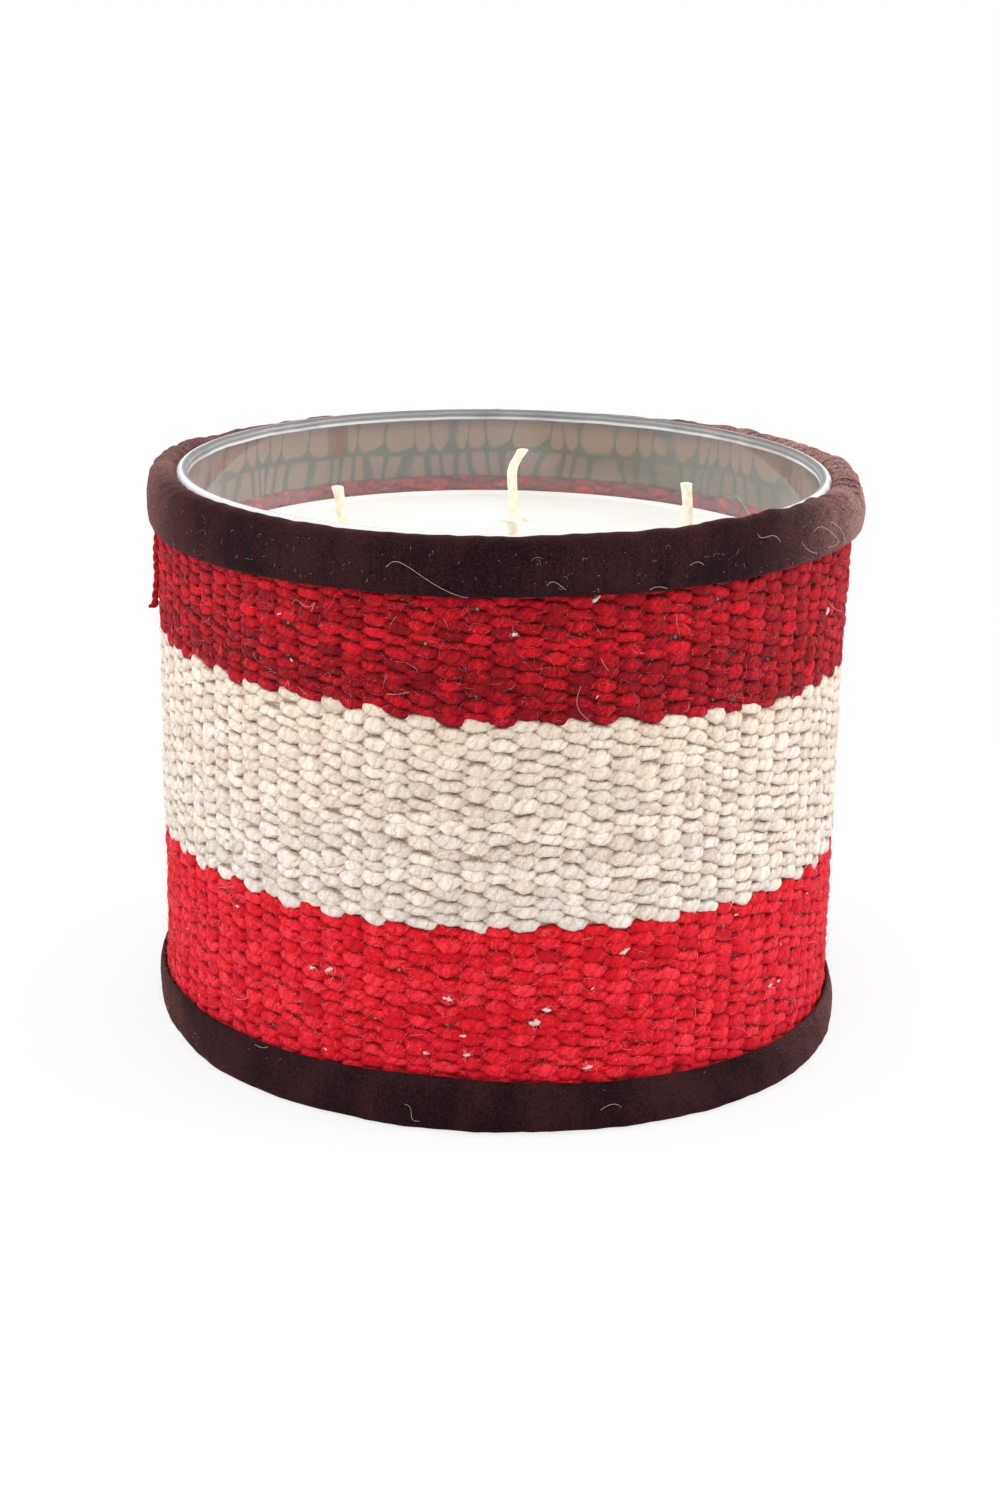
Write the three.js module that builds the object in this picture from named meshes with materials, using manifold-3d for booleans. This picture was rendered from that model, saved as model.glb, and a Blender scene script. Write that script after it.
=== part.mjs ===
// A large four-wick candle poured in a straight glass vessel, in a hand-woven wool sleeve bound with velvet.
// Millimetres, +Z up. The origin is the centre of the glass's resting ring, and the front of the candle faces -Y.
import * as THREE from "three";
import { mergeVertices } from "three/addons/utils/BufferGeometryUtils.js";
import Module from "manifold-3d";

const wasm = await Module();
wasm.setup();

// Driving dimensions

// The air left between two pieces that touch on the real candle.
const TOUCH = 0.3;

const glass = {
  outerRadius: 88,
  height: 152.4,
  wall: 3,
  baseThickness: 8,
  heelRadius: 5,
  innerCornerRadius: 4,
  puntRadius: 66,
  puntDepth: 1.5,
};

const wax = {
  depthBelowRim: 25.3,
};

// The wicks stand on a ring that is a share of the wax's radius, and that was poured a little off centre.
const wick = {
  thickness: 3,
  ringShare: 0.549,
  ringShiftShare: 0.04,
};

// The way each wick stands out of the wax: how far it stands, how far its tip leans, and how far its middle bows out.
const wickStands = {
  left: { turn: 180, height: 18.2, leanX: -2, leanY: 0, bowX: 0 },
  right: { turn: 0, height: 20.8, leanX: -0.3, leanY: 0.4, bowX: 0.3 },
  back: { turn: 90, height: 20.3, leanX: 0.3, leanY: -0.4, bowX: -1.9 },
  front: { turn: 270, height: 20, leanX: -1.2, leanY: 0.3, bowX: 0.3 },
};

const tab = {
  discRadius: 10,
  discThickness: 0.6,
  neckHeight: 6.5,
  neckWall: 0.7,
};

const glueDot = {
  radius: 7.5,
  thickness: 1,
};

// The woven cloth is one fabric of three colours. Its top and bottom edges lie inside the folds of velvet.
const cloth = {
  thickness: 5.2,
  scarletTop: 53.7,
  creamHeight: 53.9,
  seamTurn: 182,
  seamGap: 1.2,
};

const velvet = {
  thickness: 1.2,
  topProudOfCloth: 2.4,
  bottomProudOfCloth: 1.8,
  topOuterLeg: 14,
  bottomOuterLeg: 13,
  topInnerLeg: 20,
  bottomInnerLeg: 18,
  topBelowRim: 0.6,
  liftOffTable: 0.3,
};

const lacing = {
  thickness: 0.9,
  halfWidth: 1.8,
  stitchLength: 7.6,
  clearOfBinding: 1.5,
};

const yarnTail = {
  thickness: 2,
  length: 20,
  hook: 2.4,
  hookShare: 0.25,
  turnPastSeam: 2.2,
};

// How finely round shapes are divided
const RING_SEGMENTS = 60;
const TAB_SEGMENTS = 16;
const ARC_STEPS = 4;
const THREAD_SIDES = 6;
const WICK_SIDES = 8;
const WICK_FREE_STEPS = 9;
const STEPS_PER_STITCH = 4;
const YARN_TAIL_STEPS = 10;

// Points nearer than this are one point, and a cutting tool runs this far past what it cuts.
const MERGE_DISTANCE = 1e-4;
const CUT_PAST = 1;

// Places worked out from the driving dimensions
const glassInnerRadius = glass.outerRadius - glass.wall;
const waxBottom = glass.baseThickness + TOUCH;
const waxTop = glass.height - wax.depthBelowRim;
const waxRadius = glassInnerRadius - TOUCH;
const glueBottom = glass.baseThickness + TOUCH;
const tabBottom = glueBottom + glueDot.thickness + TOUCH;
const tabDiscTop = tabBottom + tab.discThickness;
const wickRadius = wick.thickness / 2;
const wickRingRadius = wick.ringShare * waxRadius;
const wickRingShiftX = wick.ringShiftShare * waxRadius;
const wickBoreRadius = wickRadius + TOUCH;
const neckRadius = wickBoreRadius + tab.neckWall;
const neckTop = tabDiscTop + tab.neckHeight;

const sleeveInnerRadius = glass.outerRadius + TOUCH;
const sleeveBottom = velvet.liftOffTable;
const sleeveTop = glass.height - velvet.topBelowRim;
const clothOuterRadius = sleeveInnerRadius + cloth.thickness;
const clothBehindVelvet = sleeveInnerRadius + velvet.thickness + TOUCH;
const clothBottom = sleeveBottom + velvet.thickness + TOUCH;
const clothTop = sleeveTop - velvet.thickness - TOUCH;
const creamTop = cloth.scarletTop + cloth.creamHeight;
const lacingRadius = clothOuterRadius - lacing.thickness / 2 - TOUCH;
const recessRadius = lacingRadius - lacing.thickness / 2 - TOUCH;
const recessWidth = 2 * (lacing.halfWidth + lacing.thickness / 2 + TOUCH);

// Colours and finishes
const clearGlass = { color: 0xdfe6e8, roughness: 0.05, metalness: 0 };
const whiteWax = { color: 0xf6f3ea, roughness: 0.5, metalness: 0 };
const cottonBraid = { color: 0xf0e4c6, roughness: 0.8, metalness: 0 };
const tinPlate = { color: 0xb9bcc0, roughness: 0.35, metalness: 1 };
const paleGlue = { color: 0xe9e4d2, roughness: 0.6, metalness: 0 };
const crimsonWool = { color: 0x9e1322, roughness: 1, metalness: 0 };
const creamWool = { color: 0xdccfba, roughness: 1, metalness: 0 };
const scarletWool = { color: 0xd9222f, roughness: 1, metalness: 0 };
const auberginePile = { color: 0x2c1a1e, roughness: 0.9, metalness: 0 };

// Shapes

function radians(turn) {
  return THREE.MathUtils.degToRad(turn);
}

function degrees(angle) {
  return THREE.MathUtils.radToDeg(angle);
}

// The points of an arc in the radius and height plane, from one angle to another.
function arc(radius, height, size, from, to, heightSize = size) {
  const points = [];
  for (let step = 0; step <= ARC_STEPS; step += 1) {
    const angle = radians(from + ((to - from) * step) / ARC_STEPS);
    points.push([radius + size * Math.cos(angle), height + heightSize * Math.sin(angle)]);
  }
  return points;
}

// A solid of revolution about +Z. The profile runs upwards on its outer side.
function turned(profile, segments = RING_SEGMENTS) {
  const points = profile.map(([radius, height]) => new THREE.Vector2(radius, height));
  return new THREE.LatheGeometry(points, segments).rotateX(Math.PI / 2);
}

function closed(profile) {
  return [...profile, profile[0]];
}

function toSolid(geometry) {
  const bare = geometry.clone();
  bare.deleteAttribute("normal");
  bare.deleteAttribute("uv");
  const merged = mergeVertices(bare, MERGE_DISTANCE);
  return new wasm.Manifold(
    new wasm.Mesh({
      numProp: 3,
      vertProperties: merged.attributes.position.array,
      triVerts: new Uint32Array(merged.index.array),
    }),
  );
}

function toGeometry(solid) {
  const mesh = solid.getMesh();
  const geometry = new THREE.BufferGeometry();
  geometry.setAttribute("position", new THREE.BufferAttribute(mesh.vertProperties, 3));
  geometry.setIndex(new THREE.BufferAttribute(mesh.triVerts, 1));
  geometry.computeVertexNormals();
  return geometry;
}

// An upright cylinder between two heights, as a solid for cutting.
function post(x, y, radius, bottom, top) {
  const cylinder = new THREE.CylinderGeometry(radius, radius, top - bottom, TAB_SEGMENTS);
  return toSolid(cylinder.rotateX(Math.PI / 2).translate(x, y, (bottom + top) / 2));
}

// A curve given by a formula, with its steps spaced by the formula and not by length.
class FormulaCurve extends THREE.Curve {
  constructor(place) {
    super();
    this.place = place;
  }

  getPoint(share) {
    return this.place(share);
  }

  getUtoTmapping(share) {
    return share;
  }
}

// A round cord along a curve.
function cordAlong(curve, thickness, steps, sides) {
  const section = new THREE.Shape();
  for (let side = 0; side < sides; side += 1) {
    const angle = (2 * Math.PI * side) / sides;
    const x = (thickness / 2) * Math.cos(angle);
    const y = (thickness / 2) * Math.sin(angle);
    if (side === 0) section.moveTo(x, y);
    else section.lineTo(x, y);
  }
  section.closePath();
  return new THREE.ExtrudeGeometry(section, { extrudePath: curve, steps, bevelEnabled: false });
}

// A place on an upright cylinder, by its turn about the axis in degrees from +X.
function onCylinder(radius, turn, height) {
  return new THREE.Vector3(radius * Math.cos(radians(turn)), radius * Math.sin(radians(turn)), height);
}

function wickBase(turn) {
  const base = onCylinder(wickRingRadius, turn, 0);
  return [base.x + wickRingShiftX, base.y];
}

// Pieces

// A straight vessel with a thick base, a shallow punt, a rounded heel and a fire-polished rim.
function glassVessel() {
  const rimRadius = glass.wall / 2;
  return turned([
    [0, glass.puntDepth],
    [glass.puntRadius - glass.puntDepth, glass.puntDepth],
    [glass.puntRadius, 0],
    ...arc(glass.outerRadius - glass.heelRadius, glass.heelRadius, glass.heelRadius, -90, 0),
    ...arc(glass.outerRadius - rimRadius, glass.height - rimRadius, rimRadius, 0, 180),
    ...arc(
      glassInnerRadius - glass.innerCornerRadius,
      glass.baseThickness + glass.innerCornerRadius,
      glass.innerCornerRadius,
      0,
      -90,
    ),
    [0, glass.baseThickness],
  ]);
}

// The poured wax, with a bore for each wick and a recess for each wick tab and its glue.
function waxFill() {
  const corner = glass.innerCornerRadius;
  const poured = turned([
    [0, waxBottom],
    ...arc(waxRadius - corner, waxBottom + corner, corner, -90, 0),
    [waxRadius, waxTop],
    [0, waxTop],
  ]);
  let solid = toSolid(poured);
  const recess = Math.max(tab.discRadius, glueDot.radius) + TOUCH;
  for (const { turn } of Object.values(wickStands)) {
    const [x, y] = wickBase(turn);
    solid = solid.subtract(post(x, y, wickBoreRadius, waxBottom - CUT_PAST, waxTop + CUT_PAST));
    solid = solid.subtract(post(x, y, neckRadius + TOUCH, waxBottom - CUT_PAST, neckTop + TOUCH));
    solid = solid.subtract(post(x, y, recess, waxBottom - CUT_PAST, tabDiscTop + TOUCH));
  }
  return toGeometry(solid);
}

// A braided wick: straight through the wax, then leaning and bowing as it stands free.
function wickCord({ turn, height, leanX, leanY, bowX }) {
  const [x, y] = wickBase(turn);
  const bottom = tabBottom + TOUCH;
  const steps = WICK_FREE_STEPS + 1;
  const curve = new FormulaCurve((share) => {
    const step = share * steps;
    if (step <= 1) return new THREE.Vector3(x, y, bottom + (waxTop - bottom) * step);
    const free = (step - 1) / WICK_FREE_STEPS;
    const lean = free * free;
    const bow = free * Math.sin(Math.PI * free);
    return new THREE.Vector3(x + leanX * lean + bowX * bow, y + leanY * lean, waxTop + height * free);
  });
  return cordAlong(curve, wick.thickness, steps, WICK_SIDES);
}

// A metal wick tab: a disc on the base of the vessel and a neck that holds the wick.
function wickTab(turn) {
  const [x, y] = wickBase(turn);
  const profile = closed([
    [wickBoreRadius, tabBottom],
    [tab.discRadius, tabBottom],
    [tab.discRadius, tabDiscTop],
    [neckRadius, tabDiscTop],
    [neckRadius, neckTop],
    [wickBoreRadius, neckTop],
  ]);
  return turned(profile, TAB_SEGMENTS).translate(x, y, 0);
}

function tabGlue(turn) {
  const [x, y] = wickBase(turn);
  const dot = new THREE.CylinderGeometry(glueDot.radius, glueDot.radius, glueDot.thickness, TAB_SEGMENTS);
  return dot.rotateX(Math.PI / 2).translate(x, y, glueBottom + glueDot.thickness / 2);
}

// A ring of cloth, open at the seam, with a shallow recess there for the lacing.
function clothBand(profile) {
  const tall = 2 * glass.height;
  const deep = 2 * clothOuterRadius;
  const gap = new THREE.BoxGeometry(deep, cloth.seamGap, tall).translate(deep / 2, 0, 0);
  const recess = new THREE.BoxGeometry(deep, recessWidth, tall).translate(recessRadius + deep / 2, 0, 0);
  const turn = radians(cloth.seamTurn);
  const solid = toSolid(turned(closed(profile)))
    .subtract(toSolid(gap.rotateZ(turn)))
    .subtract(toSolid(recess.rotateZ(turn)));
  return toGeometry(solid);
}

function scarletBand() {
  const legTop = sleeveBottom + velvet.bottomInnerLeg + TOUCH;
  return clothBand([
    [clothBehindVelvet, clothBottom],
    [clothOuterRadius, clothBottom],
    [clothOuterRadius, cloth.scarletTop - TOUCH / 2],
    [sleeveInnerRadius, cloth.scarletTop - TOUCH / 2],
    [sleeveInnerRadius, legTop],
    [clothBehindVelvet, legTop],
  ]);
}

function creamBand() {
  return clothBand([
    [sleeveInnerRadius, cloth.scarletTop + TOUCH / 2],
    [clothOuterRadius, cloth.scarletTop + TOUCH / 2],
    [clothOuterRadius, creamTop - TOUCH / 2],
    [sleeveInnerRadius, creamTop - TOUCH / 2],
  ]);
}

function crimsonBand() {
  const legBottom = sleeveTop - velvet.topInnerLeg - TOUCH;
  return clothBand([
    [sleeveInnerRadius, creamTop + TOUCH / 2],
    [clothOuterRadius, creamTop + TOUCH / 2],
    [clothOuterRadius, clothTop],
    [clothBehindVelvet, clothTop],
    [clothBehindVelvet, legBottom],
    [sleeveInnerRadius, legBottom],
  ]);
}

// A strip of velvet folded over the cloth's upper edge, full on the outside and thin against the glass.
// Heights are measured down from the fold.
function bindingProfile(proud, outerLeg, innerLeg) {
  const outerRadius = clothOuterRadius + proud;
  const middle = outerRadius - (proud - TOUCH) / 2;
  const foldHeight = Math.min(outerLeg / 2, (outerRadius - sleeveInnerRadius) / 2);
  const foldMiddle = (outerRadius + sleeveInnerRadius) / 2;
  const foldSize = (outerRadius - sleeveInnerRadius) / 2;
  const edgeHeight = outerLeg / 4;
  return [
    [clothOuterRadius + TOUCH, -outerLeg],
    [middle, -outerLeg],
    [outerRadius, edgeHeight - outerLeg],
    ...arc(foldMiddle, -foldHeight, foldSize, 0, 180, foldHeight),
    [sleeveInnerRadius, -innerLeg],
    [sleeveInnerRadius + velvet.thickness, -innerLeg],
    [sleeveInnerRadius + velvet.thickness, -velvet.thickness],
    [clothOuterRadius + TOUCH, -velvet.thickness],
  ];
}

function topBinding() {
  const profile = bindingProfile(velvet.topProudOfCloth, velvet.topOuterLeg, velvet.topInnerLeg);
  return turned(closed(profile.map(([radius, height]) => [radius, sleeveTop + height])));
}

// The same fold, turned over for the lower edge.
function bottomBinding() {
  const profile = bindingProfile(velvet.bottomProudOfCloth, velvet.bottomOuterLeg, velvet.bottomInnerLeg);
  const turnedOver = profile.map(([radius, height]) => [radius, sleeveBottom - height]).reverse();
  return turned(closed(turnedOver));
}

// One thread that laces the two ends of the cloth together, to and fro across the seam.
function seamLacing() {
  const bottom = sleeveBottom + velvet.bottomOuterLeg + lacing.clearOfBinding;
  const top = sleeveTop - velvet.topOuterLeg - lacing.clearOfBinding;
  const stitches = Math.max(1, Math.round((top - bottom) / lacing.stitchLength));
  const curve = new FormulaCurve((share) => {
    const across = lacing.halfWidth * Math.sin(2 * Math.PI * stitches * share);
    const turn = cloth.seamTurn + degrees(across / lacingRadius);
    return onCylinder(lacingRadius, turn, bottom + (top - bottom) * share);
  });
  return cordAlong(curve, lacing.thickness, stitches * STEPS_PER_STITCH, THREAD_SIDES);
}

// A loose end of crimson yarn that hangs beside the seam from under the velvet and curls at its tip.
function looseYarn() {
  const top = sleeveTop - velvet.topOuterLeg - TOUCH - yarnTail.thickness / 2;
  const turn = cloth.seamTurn + yarnTail.turnPastSeam;
  const out = clothOuterRadius + TOUCH + yarnTail.thickness / 2;
  const curve = new FormulaCurve((share) => {
    const hook = Math.max(0, 1 + (share - 1) / yarnTail.hookShare);
    const aside = degrees((yarnTail.hook * hook * hook) / out);
    return onCylinder(out, turn + aside, top - yarnTail.length * Math.sin((share * Math.PI) / 2));
  });
  return cordAlong(curve, yarnTail.thickness, YARN_TAIL_STEPS, WICK_SIDES);
}

// Assembly

function piece(name, geometry, finish) {
  const mesh = new THREE.Mesh(geometry, new THREE.MeshStandardMaterial(finish));
  mesh.name = name;
  return mesh;
}

function pouredCandle() {
  const group = new THREE.Group();
  group.add(piece("glass_vessel", glassVessel(), clearGlass));
  group.add(piece("wax_fill", waxFill(), whiteWax));
  for (const [place, stand] of Object.entries(wickStands)) {
    group.add(piece(`wick_${place}`, wickCord(stand), cottonBraid));
    group.add(piece(`wick_tab_${place}`, wickTab(stand.turn), tinPlate));
    group.add(piece(`tab_glue_${place}`, tabGlue(stand.turn), paleGlue));
  }
  return group;
}

function wovenSleeve() {
  const group = new THREE.Group();
  group.add(piece("crimson_band", crimsonBand(), crimsonWool));
  group.add(piece("cream_band", creamBand(), creamWool));
  group.add(piece("scarlet_band", scarletBand(), scarletWool));
  group.add(piece("top_binding", topBinding(), auberginePile));
  group.add(piece("bottom_binding", bottomBinding(), auberginePile));
  group.add(piece("seam_lacing", seamLacing(), creamWool));
  group.add(piece("yarn_tail", looseYarn(), crimsonWool));
  return group;
}

const candle = new THREE.Group();
candle.add(pouredCandle());
candle.add(wovenSleeve());

export default candle;
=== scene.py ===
"""A large four-wick candle in a hand-woven wool sleeve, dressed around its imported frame.

Sizes in the classes are millimetres, as on the maker's drawing, and meshes are metres. The front of the candle
faces -Y, and turns are degrees about +Z from +X, so that the front is at 270.
"""

import logging
import math
from dataclasses import dataclass, field
from enum import Enum
from functools import cached_property
from typing import Any, NamedTuple, Optional, Sequence, Union

import bpy
import numpy as np
from mathutils import Matrix, Vector


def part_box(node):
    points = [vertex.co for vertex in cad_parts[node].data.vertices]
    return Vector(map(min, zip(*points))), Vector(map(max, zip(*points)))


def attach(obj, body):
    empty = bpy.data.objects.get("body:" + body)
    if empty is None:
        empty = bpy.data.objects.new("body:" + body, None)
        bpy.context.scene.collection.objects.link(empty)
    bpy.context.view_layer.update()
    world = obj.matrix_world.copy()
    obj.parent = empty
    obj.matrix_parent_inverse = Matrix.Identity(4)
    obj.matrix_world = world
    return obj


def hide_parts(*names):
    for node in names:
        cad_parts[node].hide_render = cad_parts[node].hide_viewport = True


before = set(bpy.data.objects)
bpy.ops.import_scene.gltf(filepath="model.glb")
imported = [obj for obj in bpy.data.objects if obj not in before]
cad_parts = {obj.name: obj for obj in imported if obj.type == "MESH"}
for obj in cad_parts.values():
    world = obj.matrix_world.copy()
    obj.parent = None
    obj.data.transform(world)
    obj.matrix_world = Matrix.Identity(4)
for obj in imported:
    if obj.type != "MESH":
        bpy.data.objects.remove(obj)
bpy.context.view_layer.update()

MM = 0.001
FRONT = 270.0
LOG = logging.getLogger("candle")

UP = np.array([0, 0, 1.0])
FIRST_LOT = 0.1
YARN_SHIFT = 0.0137
CLEAR_OF_TABLE = 0.3
HAIR_THICKNESS = 0.06

Colour = tuple[float, float, float]
Point = tuple[float, float, float]
Profile = list[tuple[float, float]]


class Body(Enum):
    """The two bodies of the candle that move against each other."""

    CANDLE = "candle"
    SLEEVE = "sleeve"


class Edge(Enum):
    """The two edges of the sleeve that velvet binds."""

    TOP = 1
    BOTTOM = -1


def tone(red: int, green: int, blue: int) -> Colour:
    """Returns the linear colour of a screen colour given from 0 to 255."""
    shares = (channel / 255 for channel in (red, green, blue))
    return tuple(s / 12.92 if s <= 0.04045 else ((s + 0.055) / 1.055) ** 2.4 for s in shares)


def ease(values: np.ndarray, low: float, high: float) -> np.ndarray:
    """Returns a smooth step of the values, 0 below low and 1 above high."""
    share = np.clip((values - low) / (high - low), 0, 1)
    return share * share * (3 - 2 * share)


def from_front(turns: np.ndarray) -> np.ndarray:
    """Returns the degrees of each turn from the front, positive to the right, from -180 to 180."""
    return (turns - FRONT + 180) % 360 - 180


def hill(values: np.ndarray, middle: float, width: Union[float, np.ndarray]) -> np.ndarray:
    """Returns a bell curve of the values, 1 at its middle."""
    return np.exp(-(((values - middle) / width) ** 2))


def all_round(radius: Any, angle: Any, height: Any) -> np.ndarray:
    """Returns points about the upright axis, one for each radius, angle in radians and height."""
    return np.stack(np.broadcast_arrays(radius * np.cos(angle), radius * np.sin(angle), height), -1)


def ways_at(turns: np.ndarray) -> tuple[np.ndarray, np.ndarray]:
    """Returns the ways outwards and sideways at each turn."""
    angle = np.radians(turns)
    return all_round(1.0, angle, 0.0), np.stack([-np.sin(angle), np.cos(angle), np.zeros(len(turns))], 1)


def tilted(sideways: np.ndarray, tilt: np.ndarray) -> np.ndarray:
    """Returns sideways ways, tilted upwards by angles in radians."""
    return sideways * np.cos(tilt)[:, None] + UP * np.sin(tilt)[:, None]


def travelled(path: np.ndarray) -> np.ndarray:
    """Returns how far along its path each point lies."""
    return np.concatenate([[0], np.cumsum(np.linalg.norm(np.diff(path, axis=0), axis=1))])


class Corner(NamedTuple):
    """A corner of a CAD node's box, in millimetres."""

    x: float
    y: float
    z: float


def box_of(node: str) -> tuple[Corner, Corner]:
    """Returns the lowest and the highest corner of a CAD node."""
    return tuple(Corner(*(number / MM for number in corner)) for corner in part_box(node))


def smooth_noise(dice: np.random.Generator, rows: int, count: int, reach: float) -> np.ndarray:
    """Makes rows of seeded noise that close on themselves.

    Args:
        dice: The seeded source.
        rows: How many rows.
        count: How many samples a row has.
        reach: Over how many samples the noise is smoothed.

    Returns:
        An array of rows by count, with a spread of 1.
    """
    waves = np.fft.rfft(dice.standard_normal((rows, count)), axis=1)
    kept = np.exp(-2 * (math.pi * reach * np.fft.rfftfreq(count)) ** 2)
    noise = np.fft.irfft(waves * kept, count, axis=1)
    return noise / noise.std(axis=1, keepdims=True)


# Materials


@dataclass(frozen=True)
class Wire:
    """An output socket of a node tree, which can be used in sums."""

    desk: "NodeDesk"
    socket: bpy.types.NodeSocket

    def __add__(self, other: "Level") -> "Wire":
        """Returns the sum."""
        return self.desk.maths("ADD", self, other)

    def __sub__(self, other: "Level") -> "Wire":
        """Returns the difference."""
        return self.desk.maths("SUBTRACT", self, other)

    def __rsub__(self, other: "Level") -> "Wire":
        """Returns the reflected difference."""
        return self.desk.maths("SUBTRACT", other, self)

    def __mul__(self, other: "Level") -> "Wire":
        """Returns the product."""
        return self.desk.maths("MULTIPLY", self, other)

    def __truediv__(self, other: "Level") -> "Wire":
        """Returns the quotient."""
        return self.desk.maths("DIVIDE", self, other)

    def __rtruediv__(self, other: "Level") -> "Wire":
        """Returns the reflected quotient."""
        return self.desk.maths("DIVIDE", other, self)

    def split(self) -> "tuple[Wire, Wire, Wire]":
        """Returns the three numbers of a vector."""
        node = self.desk.node("SeparateXYZ", {}, {0: self}).socket.node
        return tuple(Wire(self.desk, socket) for socket in node.outputs)

    __radd__ = __add__
    __rmul__ = __mul__


Level = Union[Wire, float]


class NodeDesk:
    """The node tree of one material or world, with one method that adds any node."""

    def __init__(self, owner: Union[bpy.types.Material, bpy.types.World]) -> None:
        """Empties the owner's node tree.

        Args:
            owner: The material or world whose nodes are written here.
        """
        owner.use_nodes = True
        self.owner = owner
        self.tree = owner.node_tree
        self.tree.nodes.clear()

    def node(
        self,
        kind: str,
        settings: Optional[dict[str, Any]] = None,
        inputs: Optional[dict[Union[str, int], Any]] = None,
        output: Union[str, int] = 0,
    ) -> Wire:
        """Adds a node.

        Args:
            kind: The node's type, without the leading ShaderNode.
            settings: The node's own settings, with a ramp's stops as pairs of place and colour.
            inputs: A number, colour, vector or wire for each named or numbered input.
            output: The name or number of the output to return.

        Returns:
            The output as a wire.
        """
        made = self.tree.nodes.new(f"ShaderNode{kind}")
        for name, value in (settings or {}).items():
            if name == "stops":
                self._set_stops(made.color_ramp, value)
            elif name == "stepped":
                made.color_ramp.interpolation = "CONSTANT" if value else "LINEAR"
            else:
                setattr(made, name, value)
        for key, value in (inputs or {}).items():
            socket = made.inputs[key]
            if isinstance(value, Wire):
                self.tree.links.new(value.socket, socket)
            elif socket.type == "RGBA" and len(value) == 3:
                socket.default_value = (*value, 1.0)
            else:
                socket.default_value = value
        return Wire(self, made.outputs[output]) if made.outputs else Wire(self, None)

    @staticmethod
    def _set_stops(ramp: bpy.types.ColorRamp, stops: Sequence[tuple[float, Colour]]) -> None:
        """Writes the stops of a colour ramp.

        Args:
            ramp: The ramp.
            stops: The place and colour of each stop.
        """
        while len(ramp.elements) < len(stops):
            ramp.elements.new(1.0)
        for element, (place, colour) in zip(ramp.elements, stops):
            element.position = place
            element.color = (*colour, 1.0)

    def maths(self, operation: str, *values: Level) -> Wire:
        """Returns a Math node on up to three values."""
        return self.node("Math", {"operation": operation}, dict(enumerate(values)))

    def clamp(self, value: Level) -> Wire:
        """Returns the value kept between 0 and 1."""
        return self.node("Clamp", {}, {"Value": value})

    def step(self, value: Level, low: float, high: float) -> Wire:
        """Returns a smooth step from 0 at low to 1 at high."""
        settings = {"interpolation_type": "SMOOTHSTEP"}
        return self.node("MapRange", settings, {"Value": value, "From Min": low, "From Max": high})

    def blend(self, share: Level, first: Any, second: Any, way: str = "MIX") -> Wire:
        """Returns a Mix node on two colours."""
        settings = {"data_type": "RGBA", "blend_type": way}
        return self.node("Mix", settings, {0: share, 6: first, 7: second}, 2)

    def join(self, *values: Level) -> Wire:
        """Returns a vector of up to three numbers."""
        return self.node("CombineXYZ", {}, dict(enumerate(values)))

    def attribute(self, name: str) -> Wire:
        """Returns a number that the mesh holds for each vertex."""
        return self.node("Attribute", {"attribute_name": name}, {}, "Fac")

    def placed(self, source: str, scale: Point) -> Wire:
        """Returns object or UV coordinates, stretched by the scale."""
        places = self.node("TexCoord", {}, {}, source)
        return self.node("Mapping", {}, {"Vector": places, "Scale": scale})

    def noise(self, places: Wire, scale: float, detail: float = 2.0, roughness: float = 0.5) -> Wire:
        """Returns the level of a Noise Texture."""
        inputs = {"Vector": places, "Scale": scale, "Detail": detail, "Roughness": roughness}
        return self.node("TexNoise", {}, inputs, "Fac")

    def clouds(self, scale: float, detail: float = 2.0, roughness: float = 0.5, upright: float = 1.0) -> Wire:
        """Returns noise on object coordinates, whose heights are first multiplied by the last factor."""
        return self.noise(self.placed("Object", (1, 1, upright)), scale, detail, roughness)

    def bump(self, height: Wire, strength: float, distance: float, under: Optional[Wire] = None) -> Wire:
        """Adds a Bump node.

        Args:
            height: The relief.
            strength: How much of it shows.
            distance: How high it stands, in metres.
            under: The normal of another bump below it.

        Returns:
            The normal.
        """
        inputs: dict[Union[str, int], Any] = {"Height": height, "Strength": strength, "Distance": distance}
        if under is not None:
            inputs["Normal"] = under
        return self.node("Bump", {}, inputs)

    def end(self, surface: Wire, kind: str = "OutputMaterial") -> None:
        """Joins the finished surface to the output node."""
        self.node(kind, {}, {"Surface": surface})

    def coated(self, inputs: dict[Union[str, int], Any]) -> bpy.types.Material:
        """Ends in a Principled shader with these inputs, and returns its material."""
        self.end(self.node("BsdfPrincipled", {}, inputs))
        return self.owner


@dataclass(frozen=True)
class Finish:
    """A named finish of one material slot."""

    name: str
    slot: str

    def desk(self, preview: Colour) -> NodeDesk:
        """Makes a new material.

        Args:
            preview: Its colour in a plain view.

        Returns:
            Its empty desk.
        """
        material = bpy.data.materials.new(self.name)
        material.diffuse_color = (*preview, 1.0)
        return NodeDesk(material)

    def make(self) -> bpy.types.Material:
        """Returns a new material with this finish."""
        raise NotImplementedError

    @cached_property
    def material(self) -> bpy.types.Material:
        """Returns the finish's one material, made when it is first asked for."""
        return self.make()


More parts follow.
